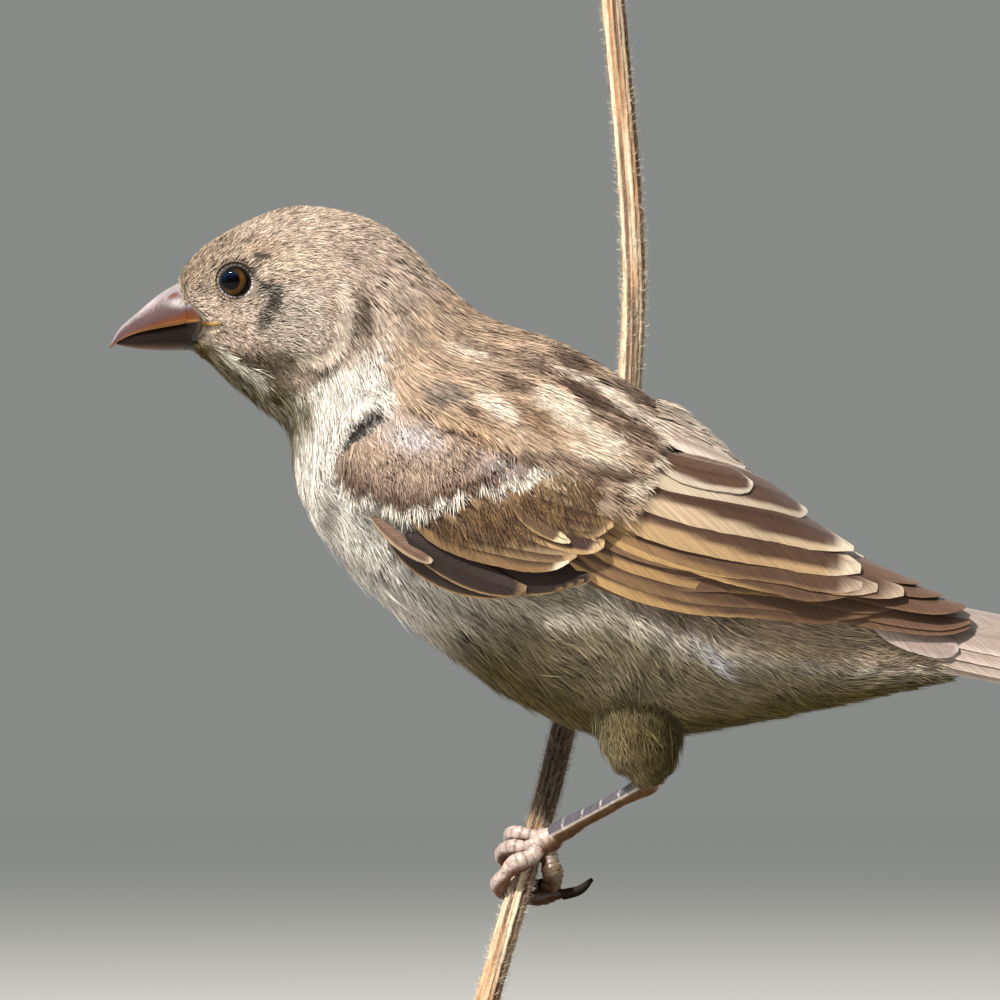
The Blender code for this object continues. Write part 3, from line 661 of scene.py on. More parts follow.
def plumes(out, rng, s, a, phi, length, half, low, high, base, per, width, fan=14.0, dark=0.45, bright=1.15,
           steps=4, form=body, spot=None, spread=None, jitter=0.22, middle=0.16, clump=0.07, stripe=0.0,
           gaps=0.0):
    """Small soft feathers: each a fan of hair-like barbs whose tips round off.

    phi may be a mean and a spread to draw from; length, half width and height a least and a most.
    spread varies a single base colour from feather to feather."""
    n = len(s)
    phi = drawn(rng.normal, phi, n)
    length, half, high = (drawn(rng.uniform, v, n) for v in (length, half, high))
    if spread is not None:
        base = base[None] * rng.normal(1, spread, (n, 1))
    u = np.linspace(-1, 1, per)[None] + rng.normal(0, 0.6 / per, (n, per))
    (ds, da), (ls, la), _ = heading(form, s, a, phi)
    rep = lambda v: np.repeat(np.broadcast_to(v, (n,) + np.shape(v)[1:]), per, axis=0)
    off = (u * half[:, None] * 0.7).ravel()
    back = rng.uniform(0, 0.25, n * per) * rep(length)
    ss = rep(s) + rep(ls) * off - rep(ds) * back
    aa = rep(a) + rep(la) * off - rep(da) * back
    u = u.ravel()
    long = rep(length) * (1 - TIP_ROUNDING * u**2) * rng.uniform(0.85, 1.12, n * per)
    turned = rep(phi) + u * fan + rng.normal(0, BARB_STRAY, n * per)
    shade = rng.normal(1.0, jitter, n * per).clip(0.35, 1.6)
    shade = shade * np.where(rng.uniform(0, 1, n * per) < gaps, GAP_SHADE, 1.0)
    each = rep(rng.normal(1.0, clump, n).clip(0.5, 1.5))
    shade = shade * (1 + stripe * np.tile(np.arange(per) % 2 * 2 - 1, n))
    streak = 1 - middle * np.exp(-(u / MIDDLE_WIDTH)**2)
    if callable(base):
        ends = [base(ss + rep(ds) * long * k, aa + rep(da) * long * k) for k in (0.3, 0.95)]
    else:
        ends = [rep(np.broadcast_to(base, (n, 3)))] * 2
    ends = [end * (shade * each * streak)[:, None] for end in ends]
    dome = rep(high) * (1 - DOME * u**2) + rng.normal(0, 0.04, n * per)
    # Roots take the share dark of their colour, partly the grey down and partly painted shade under the
    # overlying feathers; tips take the share bright.
    out.add(form, ss, aa, turned, long, rep(width) * rng.uniform(0.7, 1.25, n * per), rep(low), dome,
            ends[0] * dark, ends[1] * bright, rng.normal(0, BARB_ROLL, n * per), steps,
            rng.normal(0, BARB_CURL, n * per), None if spot is None else rep(spot))


EYE_RING = 2.5  # radius of the bare ring in which the eyelid lies


def from_eye(x, z):
    """Way from the middle of the eye in side view."""
    return x - EYE_XZ[0], z - EYE_XZ[1]


def eye_free(s, a):
    """0 inside the ring round the eye and over the folds behind it, 1 outside."""
    dx, dz = from_eye(*side_view(s, a))
    folds = 0.3 * np.exp(-((np.arctan2(dz, dx) + 0.6) / 0.6)**2)
    return (np.hypot(dx, dz) > EYE_RING + folds).astype(float)


def head_lie(s, a):
    """Degrees by which the head's plumage turns down from the way to the tail."""
    x, z = side_view(s, a)
    dx, dz = from_eye(x, z)
    near = np.exp(-(dx**2 + dz**2) / 9.0)
    phi = -32 * near * np.sign(dz) * step(3, 0, dx)
    phi = phi + 26 * blob(x, z, -36.5, 94.5, 6.5, 4.5, -15, 0.9)
    phi = phi - 10 * blob(x, z, -26.0, 103.0, 6.0, 4.0, 0, 0.9)
    return phi + 8 * ripple(s, a, 11, 0.7)


FIND_S, FIND_A = np.meshgrid(np.linspace(0, 14.8, 297), np.linspace(0, 178, 179), indexing="ij")
FIND_X, FIND_Z = side_view(FIND_S, FIND_A)


def find(x, z):
    """Station and angle on the left side that show at x, z in side view."""
    gap = np.hypot(FIND_X - x, FIND_Z - z) + 0.001 * np.abs(FIND_A - 90)
    k = np.unravel_index(gap.argmin(), gap.shape)
    return FIND_S[k], FIND_A[k]


def near_line(rng, places, count, spread):
    """Places (s, a) scattered about a smooth line through places in side view, on both sides."""
    at = spline(np.array([find(*place) for place in places]), rng.uniform(0, len(places) - 1, count))
    s, a = at[:, 0] + rng.normal(0, spread, count), at[:, 1] + rng.normal(0, spread * 12, count)
    return np.concatenate([s, s]), np.concatenate([a, -a])


def horn_free(s, a):
    """0 where the bill's base shows at the corner of the mouth, 1 elsewhere."""
    x, z = side_view(s, a)
    return (blob(x, z, -42.4, 98.8, 2.5, 2.7, 0, 0.1) < 0.5).astype(float)


def make_head():
    """Plumage of the head, smallest at the bill and round the eye."""
    for name, seed, count, s_range in (("plumage_crown", 40, 4500, (2.3, 4.5)),
                                       ("plumage_face", 41, 3850, (0.12, 2.4))):
        rng = np.random.default_rng(seed)
        out = Strands()
        s, a = scatter(rng, body, count, s_range, (-180, 180),
                       lambda s, a: eye_free(s, a) * horn_free(s, a))
        grow = step(0.2, 3.6, s)
        dx, dz = from_eye(*side_view(s, a))
        near = np.exp(-(dx**2 + dz**2) / 10.0)
        length = (1.0 + 1.45 * grow) * (1 - 0.5 * near) * rng.uniform(0.85, 1.15, count)
        plumes(out, rng, s, a, head_lie(s, a) + rng.normal(0, 5, count), length, length * 0.30,
               -depth(s, a) * 0.75, 0.03 * rng.normal(1, 1, count), markings, 8, 0.088 + 0.02 * grow, 18,
               0.26, 1.3, jitter=0.26, gaps=0.3)
        if name == "plumage_crown":
            finish(out.piece(name, PLUMAGE), "plumage")
    # Ragged rear rim of the ear coverts, over the painted shadow behind them.
    rim = (-24.6, 103.0), (-24.2, 100.0), (-24.9, 97.0), (-26.6, 95.2), (-29.6, 94.9)
    s, a = near_line(rng, rim, 130, 0.05)
    plumes(out, rng, s, a, (2, 8), (1.8, 2.6), 0.5, -0.2, (0.25, 0.6), rgb(204, 188, 170), 7, 0.1, 12)
    # Black and white hairs behind and below the eye.
    s, a = near_line(rng, ((-33.0, 103.2), (-32.8, 101.0), (-34.2, 98.6)), 90, 0.14)
    dark = rng.uniform(0, 1, len(s)) < 0.84
    tone = np.where(dark[:, None], DARK_GREY * 0.35, rgb(158, 150, 142))
    plumes(out, rng, s, a, (4, 9), (1.2, 2.2), 0.35, -0.3, (0.1, 0.3), tone, 3, 0.1, 12, 0.8, 1.0)
    # Chin and throat hairs that hang free of the outline.
    s, a = scatter(rng, body, 560, (0.35, 4.6), (128, 232))
    tone = mix(THROAT_IN_PAINTED_SHADE, rgb(236, 232, 220), rng.uniform(0, 0.7, len(s))**2)
    plumes(out, rng, s, wrap(a), (0, 12), (1.8, 3.2), 0.5, -0.4, (0.2, 0.95), tone, 5, 0.09, 18, 0.5, 1.1)
    # White silky hairs at the side of the throat.
    s, a = near_line(rng, ((-38.0, 95.4), (-35.8, 93.6), (-34.2, 92.2)), 44, 0.17)
    plumes(out, rng, s, a, (6, 8), (2.2, 3.6), 0.45, -0.1, (0.3, 0.9), rgb(212, 206, 190), 5, 0.08, 16, 0.45,
           1.1, spread=0.06, clump=0.25)
    # Bristles over the base of the bill.
    count = 420
    s = np.full(count, 0.16) + rng.uniform(0, 0.18, count)
    a = rng.uniform(-180, 180, count)
    keep = horn_free(s, a) > 0
    s, a = s[keep], a[keep]
    away = np.where(rng.uniform(0, 1, len(s)) < 0.5, 180, 0) + rng.normal(0, 25, len(s))
    plumes(out, rng, s, a, away, (0.6, 1.1), 0.25, -0.35, (0.15, 0.5), markings(s, a) * 0.9, 4, 0.08, 22,
           0.45, 1.1)
    finish(out.piece("plumage_face", PLUMAGE), "plumage")


def make_neck():
    """Plumage of the neck, throat and nape, over the front of the wing's top."""
    rng = np.random.default_rng(42)
    out = Strands()
    count = 3300
    s, a = scatter(rng, body, count, (4.2, 7.0), (-180, 180))
    grow = step(4.2, 6.5, s)
    length = (2.6 + 1.7 * grow) * rng.uniform(0.85, 1.15, count)
    plumes(out, rng, s, a, head_lie(s, a) * step(5, 4, s) + rng.normal(0, 6, count), length, length * 0.32,
           -depth(s, a) * 0.7, 0.05 + 0.05 * rng.normal(0, 1, count), markings, 10, 0.115 + 0.02 * grow, 14,
           0.46, 1.1, clump=0.1, gaps=0.12)
    finish(out.piece("plumage_neck", PLUMAGE), "plumage")


def steep_part(s, b):
    """How far the plumage of the rear belly hangs more steeply: 0 to 1."""
    return step(9.6, 10.6, s) * step(13.2, 12.2, s) * step(150, 125, b)


def make_under():
    """Breast, belly, flanks and vent, in longer and silkier locks to the rear."""
    for name, seed, count, s_range in (("plumage_breast", 43, 2050, (6.2, 9.2)),
                                       ("plumage_belly", 44, 2050, (8.8, 11.6)),
                                       ("plumage_vent", 45, 2000, (11.2, 13.9))):
        rng = np.random.default_rng(seed)
        out = Strands()
        s, a = scatter(rng, body, count, s_range, (70, 290))
        a = wrap(a)
        grow = step(6.0, 11.0, s)
        length = (3.8 + 3.4 * grow) * rng.uniform(0.8, 1.15, count) * (1 - 0.55 * step(12.3, 13.9, s))
        b = np.abs(a)
        phi = rng.normal(0, 8, count) + 14 * ripple(s, a, 21, 0.6) - 6 * grow * step(150, 110, b)
        steep = steep_part(s, b)
        phi = phi + steep * (34 + 14 * ripple(s, a, 22, 1.6))
        plumes(out, rng, s, a, phi, length * (1 - 0.3 * steep), length * 0.25, -depth(s, a) * 0.7,
               0.1 + rng.normal(0, 0.1 + 0.2 * grow, count), markings, 15, 0.115 + 0.02 * grow, 12, 0.38,
               1.14, jitter=0.3, clump=0.08 + 0.14 * grow, gaps=0.1)
        # Longer loose hairs over them.
        loose = 130
        s, a = scatter(rng, body, loose, s_range, (90, 270))
        a = wrap(a)
        plumes(out, rng, s, a, 34 * steep_part(s, np.abs(a)) + rng.normal(0, 12, loose), (3.5, 5.5), 0.5, 0.0,
               (0.3, 1.0), lambda s, a: markings(s, a) * 1.2 + 0.02, 4, 0.08, 16, 0.7, 1.15, 5, jitter=0.15,
               clump=0.2)
        finish(out.piece(name, SILK), "plumage")


def make_thighs():
    """Short plumage of the thighs, down to the heels."""
    rng = np.random.default_rng(46)
    out = Strands()
    for rows, station, count in THIGHS:
        form = tube(rows)
        last = len(rows) - 1
        s, a = scatter(rng, form, count, (0.0, last - 0.25), (0, 360))
        length = (4.4 - 2.6 * s / last) * rng.uniform(0.8, 1.2, count)
        x, _, z = form(s, a).T
        # Painted shade: the thighs darken in olive brown from their lit front towards their rear.
        base = mix(rgb(138, 124, 90), rgb(82, 69, 34), step(-4.5, 1.0, x - rows[0][0] + 0.3 * (z - 56)))
        base = mix(rgb(120, 107, 76), base, step(0.2, 1.3, s))
        plumes(out, rng, s, a, (0, 16), length, length * 0.3, -0.5, (-0.4, 0.7), base, 10, 0.07, 18, 0.45,
               1.12, 4, form, thigh_map(station, s, a), clump=0.2)
        s, a = scatter(rng, form, 50, (0.0, last - 1.2), (0, 360))
        plumes(out, rng, s, a, (0, 12), (3.0, 4.5), 0.7, 0.2, (0.4, 1.2), rgb(146, 134, 94), 6, 0.06, 16, 0.6,
               1.2, 5, form, thigh_map(station, s, a), 0.2)
    finish(out.piece("plumage_thighs", SILK), "plumage")


make_head()
make_neck()
make_under()
make_thighs()


# --- the back
LESSER = rgb(141, 119, 103)
LESSER_FRONT = rgb(165, 142, 123)
LESSER_CENTRE = rgb(90, 67, 57)
DARK = rgb(84, 62, 48)
DARKER = rgb(44, 31, 27)
WHITE_BAR = rgb(218, 210, 196)
CREAM = rgb(238, 222, 198)
GOLD = rgb(178, 144, 102)
TERTIAL = rgb(86, 62, 49)
PRIMARY = rgb(99, 73, 57)
MANTLE = rgb(190, 163, 138)
STREAK = rgb(88, 68, 56)
SOFT_WHITE = rgb(226, 210, 190)
BACK_MARKS = (
    # x, z, half length, half width, turn, colour, strength
    (-9.3, 85.3, 5.0, 2.2, -20, rgb(194, 164, 134), 0.8), (-2.0, 86.7, 3.2, 1.3, -42, rgb(142, 112, 86), 0.8),
    (2.9, 94.3, 3.2, 0.9, -28, STREAK, 0.9), (-1.5, 93.9, 3.0, 0.9, -25, STREAK, 0.75),
    (4.1, 90.4, 3.8, 1.1, -35, STREAK, 0.95), (8.7, 88.1, 3.5, 1.0, -27, STREAK, 0.95),
    (11.1, 89.7, 4.0, 0.6, -35, STREAK, 0.9), (4.7, 88.0, 2.1, 0.8, -30, STREAK, 0.8),
    (10.1, 85.1, 3.8, 1.2, -27, STREAK, 0.9), (-4.0, 91.2, 2.6, 0.8, -20, STREAK, 0.8),
    (-9.1, 87.6, 1.7, 0.6, -25, STREAK, 0.9), (-12.2, 89.7, 2.8, 1.1, -5, rgb(104, 98, 92), 0.8),
    (-12.4, 93.9, 2.0, 0.8, -15, STREAK, 0.6), (-7.0, 95.4, 1.9, 0.8, -40, STREAK, 0.55),
    (16.3, 85.3, 3.6, 0.7, -38, STREAK, 0.9), (14.0, 81.8, 2.6, 0.7, -30, STREAK, 0.9),
    (11.5, 81.9, 1.7, 0.6, -5, DARK, 0.9), (-9.6, 95.1, 3.4, 0.8, -12, SOFT_WHITE, 0.8),
    (-6.3, 88.3, 3.4, 1.1, -40, SOFT_WHITE, 0.85), (1.4, 88.3, 3.8, 1.8, -40, SOFT_WHITE, 1.0),
    (6.3, 84.4, 3.4, 1.3, -35, SOFT_WHITE, 0.9), (5.5, 82.1, 4.0, 1.1, -25, CREAM, 0.75),
    (4.9, 91.9, 4.6, 0.45, -24, SOFT_WHITE, 0.9), (7.8, 90.2, 4.2, 0.6, -30, SOFT_WHITE, 0.95),
    (11.5, 87.3, 3.2, 0.5, -20, SOFT_WHITE, 0.9), (18.1, 81.8, 4.2, 0.8, -35, SOFT_WHITE, 0.9),
    # The first mark is the dark line under the scapulars' lower edge: partly their brown, partly painted
    # shadow.
    (2.8, 81.8, 6.5, 0.5, -12, STREAK, 0.8), (13.4, 83.4, 1.8, 1.0, -20, SOFT_WHITE, 1.0),
    (12.3, 80.8, 1.6, 0.8, 40, SOFT_WHITE, 1.0), (10.5, 78.4, 2.4, 0.9, 25, CREAM, 0.9),
    (23.0, 82.0, 8.0, 1.1, -33, rgb(232, 214, 204), 0.9),
    (-16.5, 98.5, 5.0, 1.5, -40, rgb(150, 128, 110), 0.6),
    (7.6, 79.9, 4.0, 0.7, -10, DARK, 0.95), (7.2, 77.5, 2.6, 0.65, -12, DARK, 0.8),
)


def mantle(s, a):
    """Colour of the streaked back and scapulars at a place."""
    x, z = side_view(s, a)
    stray = 0.35 * ripple(s, a, 33, 2.4)
    c = mix(np.tile(MANTLE, np.shape(x) + (1,)), MANTLE * 0.74, step(-0.3, 0.5, ripple(s, a, 31, 1.4)))
    for cx, cz, rx, rz, turn, tone, strength in BACK_MARKS:
        c = mix(c, tone, blob(x + stray, z + stray, cx, cz, rx * 1.1, rz * 1.2, turn, 0.36) * strength)
    return c


def make_back():
    """Mantle, rump and the covers over the tail's base."""
    rng = np.random.default_rng(51)
    out = Strands()
    s, a = scatter(rng, body, 1250, (5.4, 10.4), (-72, 72))
    plumes(out, rng, s, a, (2, 4), (3.0, 4.4), (0.9, 1.3), -0.5, (0.2, 0.45), mantle, 14, 0.14, 10, 0.7,
           1.08, jitter=0.26)
    m = 80
    s, a = rng.uniform(8.9, 10.2, m), rng.uniform(-16, 20, m)
    plumes(out, rng, s, a, rng.normal(0, 5, m), rng.uniform(3.5, 5.0, m), 1.3, 0.6, rng.uniform(1.7, 2.2, m),
           mix(rgb(214, 197, 180), rgb(120, 98, 84), rng.uniform(0, 0.9, m)**3), 16, 0.16, 9, 0.8, 1.05,
           jitter=0.14)
    m = 420
    s, a = scatter(rng, body, m, (9.8, 13.5), (-80, 80))
    length = rng.uniform(5.0, 7.0, m) * (1 - 0.25 * step(12, 14, s))
    plumes(out, rng, s, a, (0, 6), length, length * 0.28, -0.6, 0.15, RUMP, 15, 0.14, 9, 0.5, 1.12,
           spread=0.06, jitter=0.25, middle=0.2)
    finish(out.piece("plumage_back", BARBS), "plumage")


make_back()


# --- wings
def outline(t, blunt=0.72):
    """Half width of a vane along it, as a share of the widest."""
    rise = 1 - np.exp(-t / 0.12)
    fall = np.sqrt(np.clip(1 - np.clip((t - blunt) / (1 - blunt), 0, 1)**2.2, 0, 1))
    return rise * fall


class Vanes:
    """Collects large feathers, each a smooth grid in its own cell of the map."""

    rows, columns = 34, 11

    def __init__(self, cells, side=1):
        self.cells, self.side = cells, side
        self.points, self.colours, self.uv, self.lie = [], [], [], []

    def add(self, root, tip, half, low, high, shade, bow=0.0, blunt=0.8, tilt=0.3, lower=1.0, camber=0.2,
            seed=0, form=body):
        """Feather from root to tip, both (s, a). u is -1 on the upper edge and 1 on the lower one."""
        rng = np.random.default_rng(seed)
        side = self.side
        t = np.linspace(0, 1, self.rows)
        path_s = root[0] + (tip[0] - root[0]) * t
        path_a = (root[1] + (tip[1] - root[1]) * t + bow * np.sin(np.pi * t)) * side
        line = form(path_s, path_a, low + (high - low) * t)
        small = (0.02, 1.0) if form is not tail_form else (0.01, 0.02)
        ps, pa, normal = metric(form, path_s, path_a, *small)
        along = unit(np.gradient(line, axis=0))
        across = np.cross(along, normal)
        across = across * np.sign((across * pa).sum(-1) * side)[:, None]
        ls, la = solve(ps, pa, across)
        u = np.linspace(-1, 1, self.columns)
        share = np.where(u < 0, 1.0, lower)
        nick = 1 + rng.normal(0, 0.012, (self.rows, 1))
        w = u[None] * share[None] * outline(np.minimum(t, 0.992), blunt)[:, None] * half * nick
        run = np.cumsum(np.r_[0, np.linalg.norm(np.diff(line, axis=0), axis=1)])
        lift = (low + (high - low) * t)[:, None] + tilt * u[None] - camber * u[None]**2
        lift = lift + 0.05 * np.exp(-(u[None] / 0.08)**2)
        points = form(path_s[:, None] + ls[:, None] * w, path_a[:, None] + la[:, None] * w, lift)
        uu, tt = np.broadcast_to(u[None], w.shape), np.broadcast_to(t[:, None], w.shape)
        k = len(self.points)
        row, column = k // self.cells, k % self.cells
        self.points.append(points)
        self.colours.append(shade(uu, tt))
        self.uv.append(np.stack([(column + 0.5 + 0.45 * uu) / self.cells,
                                 (row + 0.05 + 0.9 * tt) / self.cells], -1))
        self.lie.append(np.stack([w, run[:, None] - np.abs(w) * BARB_SLOPE, 0 * w + 7.3 * k], -1))

    def piece(self, name, material):
        """One object of all the vanes."""
        return build(name, np.stack(self.points), [grid_faces(self.rows, self.columns, len(self.points))],
                     np.stack(self.colours), np.stack(self.uv), material, np.stack(self.lie))

def web(centre, upper_edge, lower_edge, tip_colour, up=0.8, down=0.7, tip=0.95, shaft=0.8, wide=None,
        fade=9.0):
    """Colours of a large feather: dark web, pale fringes and tip. The lower fringe runs from wide to down."""
    def shade(u, t):
        below = down if wide is None else wide + (down - wide) * step(0.15, 0.75, t)
        out = mix(centre, upper_edge, step(-up + 0.1, -up - 0.1, u))
        out = mix(out, lower_edge, step(below - 0.1, below + 0.1, u) * (1 - 0.8 * step(fade - 0.2, fade, t)))
        out = mix(out, tip_colour, step(tip - 0.03, tip + 0.02, t + 0.03 * u * u))
        return mix(out, centre * shaft, np.exp(-(u / 0.05)**2) * step(1.0, 0.9, t))
    return shade


def lerp(a, b, k, n):
    """Value k of n evenly spaced ones from a to b."""
    return a + (b - a) * k / max(n - 1, 1)


BARB_SLOPE = 1.6  # how far a barb runs towards the tip for each unit across
WING_FRONT = np.array([(6.35, 60), (6.2, 72), (6.09, 84), (5.93, 96), (5.95, 108), (6.3, 120)])
COVERT_EDGE = np.array([108, 105, 100, 93, 84, 75])[:, None]
LONG_SCAPULARS = ((7.6, 85.6, 14.3, 83.2), (8.2, 82.9, 13.1, 81.9), (5.8, 80.4, 12.4, 79.2),
                  (5.5, 78.0, 10.8, 77.2))  # x, z of root and tip
LIFT_AND_TURN = {1: (0.0, 0.0), -1: (-0.8, 9.0)}  # of the tips of a side's flight feathers
PRIMARY_TIPS = ((13.91, 14, 1.5), (13.88, 9, 1.7), (13.68, 1, 2.8), (13.3, -4, 2.9), (13.0, -4, 3.0),
                (12.9, 5, 2.4), (12.75, 9, 2.2))
SECONDARY_TIPS = ((12.63, 44, 1.5), (12.76, 37, 1.6), (12.89, 27, 1.8), (12.91, 17.5, 3.1), (12.69, 25, 3.1),
                  (12.57, 28.5, 3.05), (12.49, 37, 2.8))
SECONDARY_BANDS = (0.1, 0.75, 0.3, 0.85, 0.05, 0.6, 0.0)
TERTIALS = (
    # root, tip, half width, lift at root and tip, darkness, rim, where the rim widens
    ((9.0, 64), (12.49, 18), 3.0, 1.4, 3.15, 0.9, rgb(172, 142, 104), 0.22),
    ((9.0, 56), (12.35, 4.5), 3.1, 1.6, 3.3, 0.85, rgb(186, 161, 132), 0.22),
    ((9.0, 47), (11.69, -5), 3.1, 1.7, 3.1, 0.95, rgb(190, 171, 148), 0.22),
    ((9.3, 38), (10.71, 15), 2.1, 2.1, 2.9, 1.1, rgb(194, 178, 158), 0.55),
)


def above_bar(s, a):
    """Height in side view over the middle of the white bar, in a zigzag."""
    x, z = side_view(s, a)
    line = np.interp(x, (-22.5, -18.2, -14.9, -11.1, -5.5, 0.0), (78.9, 76.6, 76.2, 77.2, 78.9, 80.9))
    return z - line + 2.6 * np.abs((x * 0.38 + 0.2) % 1 - 0.5) - 0.65


SHOULDER_MARKS = (
    # The two lilac-grey ovals are painted sheen on the barbs; the ochre and dark ones are the feathers' own
    # colours.
    (rgb(200, 190, 188), 1, -15.8, 85.2, 5.2, 2.5, -12, 0.9),
    (rgb(176, 164, 162), 0.7, -5.5, 81.8, 5.0, 1.6, -15, 0.9),
    (rgb(176, 134, 96), 0.7, -7.5, 85.0, 4.5, 1.5, -15, 0.9),
    (LESSER_CENTRE * 0.8, 0.8, -8.9, 82.6, 0.6, 1.8, 20, 0.8),
)


def shoulder(s, a):
    """Colour of the small coverts: white bar, dark just above it, then buff, with a painted lilac-grey sheen.
    """
    x, z = side_view(s, a)
    d = above_bar(s, a) + 0.15 * ripple(s, a, 72, 3.0)
    c = mix(mix(LESSER_CENTRE, LESSER, step(1.4, 3.4, d)), LESSER_FRONT, step(2.5, 5.5, d))
    c = dabs(c, x, z, SHOULDER_MARKS)
    c = c * (1 - 0.16 * step(0.2, 0.9, ripple(s, a, 73, 2.2)))[..., None]
    return mix(c, WHITE_BAR, step(0.9, 0.4, d))


def make_flight(rng, side, wing):
    """Primaries, secondaries, tertials and the pale feathers inside them."""
    flight = Vanes(8, side)
    over, away = LIFT_AND_TURN[side]
    for k, (tip_s, tip_a, high) in enumerate(PRIMARY_TIPS):
        brown = PRIMARY * rng.normal(1, 0.06)
        shade = web(brown, brown * 1.1, mix(PRIMARY, GOLD, 0.15), brown * 1.2, 0.95, 0.93, 0.985)
        flight.add((9.2, lerp(88, 80, k, 7)), (tip_s, tip_a + away), 2.3, 0.35, high + over, shade,
                   lerp(9, 5, k, 7), 0.86, lower=0.8, seed=k)
    for k, (tip_s, tip_a, high) in enumerate(SECONDARY_TIPS):
        edge = mix(rgb(172, 138, 92), rgb(92, 67, 52), SECONDARY_BANDS[k])
        tip, fade = (rgb(178, 156, 134), 9.0) if 2 < k < 6 else (rgb(112, 86, 66), 0.85)
        shade = web(PRIMARY * rng.normal(0.75, 0.06), PRIMARY, edge, tip, 0.9, 0.92, 0.98, 0.8, 0.5, fade)
        flight.add((9.1, lerp(84, 64, k, 7)), (tip_s, tip_a + away), 2.8, 0.7, high + over, shade,
                   lerp(4, 3, k, 7), 0.84, 0.34, 0.9, seed=20 + k)
    for k, (root, (tip_s, tip_a), half, low, high, dark, rim, wide) in enumerate(TERTIALS):
        dark = TERTIAL * dark
        shade = web(dark, mix(dark, rim, 0.5), rim, mix(rim, CREAM, 0.6), 0.96, 0.72, 0.965, 0.7, wide)
        flight.add(root, (tip_s, tip_a + away), half, low, high + over, shade, 3.0, tilt=0.2, camber=0.25,
                   seed=40 + k)
    ash = web(rgb(176, 156, 140), rgb(204, 188, 172), rgb(212, 196, 180), rgb(216, 202, 188), 0.6, 0.4, 0.95)
    for k, (root, (tip_s, tip_a), high) in enumerate((((9.0, 26), (10.5, 4), 2.2),
                                                      ((9.7, 16), (11.3, -8), 2.5))):
        flight.add(root, (tip_s, tip_a + away * 0.5), 1.8, 1.2, high + over, ash, 1.0, 0.7, 0.1, seed=50 + k)
    finish(flight.piece(wing + "_quills", VANES), "wing_feathers", wing + "_flight")


def make_great_coverts(side, wing):
    """Covers of the primaries, alula and great coverts."""
    cover = Vanes(8, side)
    glossy = web(DARKER, DARKER * 0.85, mix(GOLD, DARKER, 0.2), mix(DARKER, GOLD, 0.35), 0.95, 0.88, 0.975)
    for k in range(4):
        cover.add((lerp(7.9, 8.3, k, 4), lerp(111, 104, k, 4)), (lerp(9.35, 9.6, k, 4), lerp(92, 83, k, 4)),
                  1.4, 0.7, 1.2, glossy, 2, 0.6, seed=60 + k)
    cover.add((7.0, 119), (9.0, 100), 1.6, 1.0, 1.6, glossy, 5, 0.55, seed=70)
    cover.add((7.2, 113), (8.98, 101), 1.6, 1.35, 1.75, glossy, 2, 0.55, seed=71)
    smallest = web(rgb(104, 80, 66), rgb(84, 62, 50), rgb(160, 136, 108), rgb(166, 144, 116), 0.9, 0.5, 0.95)
    cover.add((6.75, 118), (7.75, 112.5), 0.75, 1.5, 1.85, smallest, 1, 0.6, seed=72)
    n = 10
    for k in range(n):
        inner = k > 6
        light = mix(rgb(78, 56, 40), rgb(54, 39, 31), 1.0 if inner else 0.5 + 0.5 * np.cos(k * 2.3 + 0.6))
        pale = rgb(214, 198, 172) if inner or k == 0 else rgb(168, 140, 104)
        edge = mix(rgb(128, 99, 68), rgb(206, 188, 160), 0.5 if inner else 0.08 * (k % 3))
        shade = web(light, light * 1.05, edge, pale, 0.9, 0.62, 0.86 if inner else 0.95, 0.62, 0.3)
        cover.add((lerp(7.1, 7.75, k, n), lerp(107, 62, k, n)),
                  (lerp(9.2, 9.55, k, n), lerp(83, 50, k, n) + (k % 2) * 0.8), 2.2, 1.15, 1.95, shade, 1.0,
                  0.74, 0.34, seed=80 + k)
    patch = web(rgb(66, 48, 42), rgb(84, 62, 50), rgb(172, 138, 100), rgb(190, 158, 120), 0.95, 0.72, 0.9)
    cover.add((8.2, 84), (9.46, 73), 1.7, 1.75, 2.1, patch, 1, 0.7, 0.25, seed=95)
    point = web(rgb(92, 70, 52), rgb(76, 57, 44), rgb(140, 112, 78), rgb(200, 182, 146), 0.7, 0.7, 0.8, 0.8)
    cover.add((8.15, 80.5), (9.08, 79), 0.85, 1.95, 2.4, point, 1, 0.35, 0.25, seed=96)
    finish(cover.piece(wing + "_great_coverts", VANES), "wing_feathers", wing + "_coverts")


def above_and_behind(s, a):
    """1 above the white bar and behind the wing's front edge, 0 elsewhere."""
    return (above_bar(s, a) > 1.25) * (s > spline(WING_FRONT, (a - 60) / 12)[..., 0] + 0.06)


def make_small_coverts(rng, side, wing):
    """Striped small coverts above the white bar, and dark hairs below it."""
    out = Strands()
    n = 300
    s, a = scatter(rng, body, n, (6.0, 8.6), (58, 124), above_and_behind)
    rise = np.clip(above_bar(s, a) / 8, 0, 1)
    phi = 26 - 10 * rise + 8 * ripple(s, a, 71, 1.2)
    plumes(out, rng, s, a * side, phi, rng.uniform(2.0, 2.6, n), rng.uniform(1.3, 1.7, n), 1.0 - 0.3 * rise,
           2.1 - 0.5 * rise + rng.uniform(-0.06, 0.06, n), shoulder, 18, 0.15, 42, 0.75, 1.08, jitter=0.08,
           stripe=0.26, middle=0.1, clump=0.05)
    s, a = scatter(rng, body, 900, (6.9, 9.3), (58, 112), lambda s, a: (above_bar(s, a) < -0.5) * 1.0)
    ok = a < spline(COVERT_EDGE, (s - 6.9) / 0.46)[:, 0]
    s, a = s[ok], a[ok]
    tone = mix(rgb(52, 38, 30), rgb(138, 108, 74), rng.uniform(0, 1, len(s))**1.3)
    plumes(out, rng, s, a * side, (26, 6), (1.6, 2.6), 0.6, 1.9, (2.1, 2.35), tone, 5, 0.08, 10, 0.8, 1.1)
    finish(out.piece(wing + "_small_coverts", BARBS), "wing_feathers")


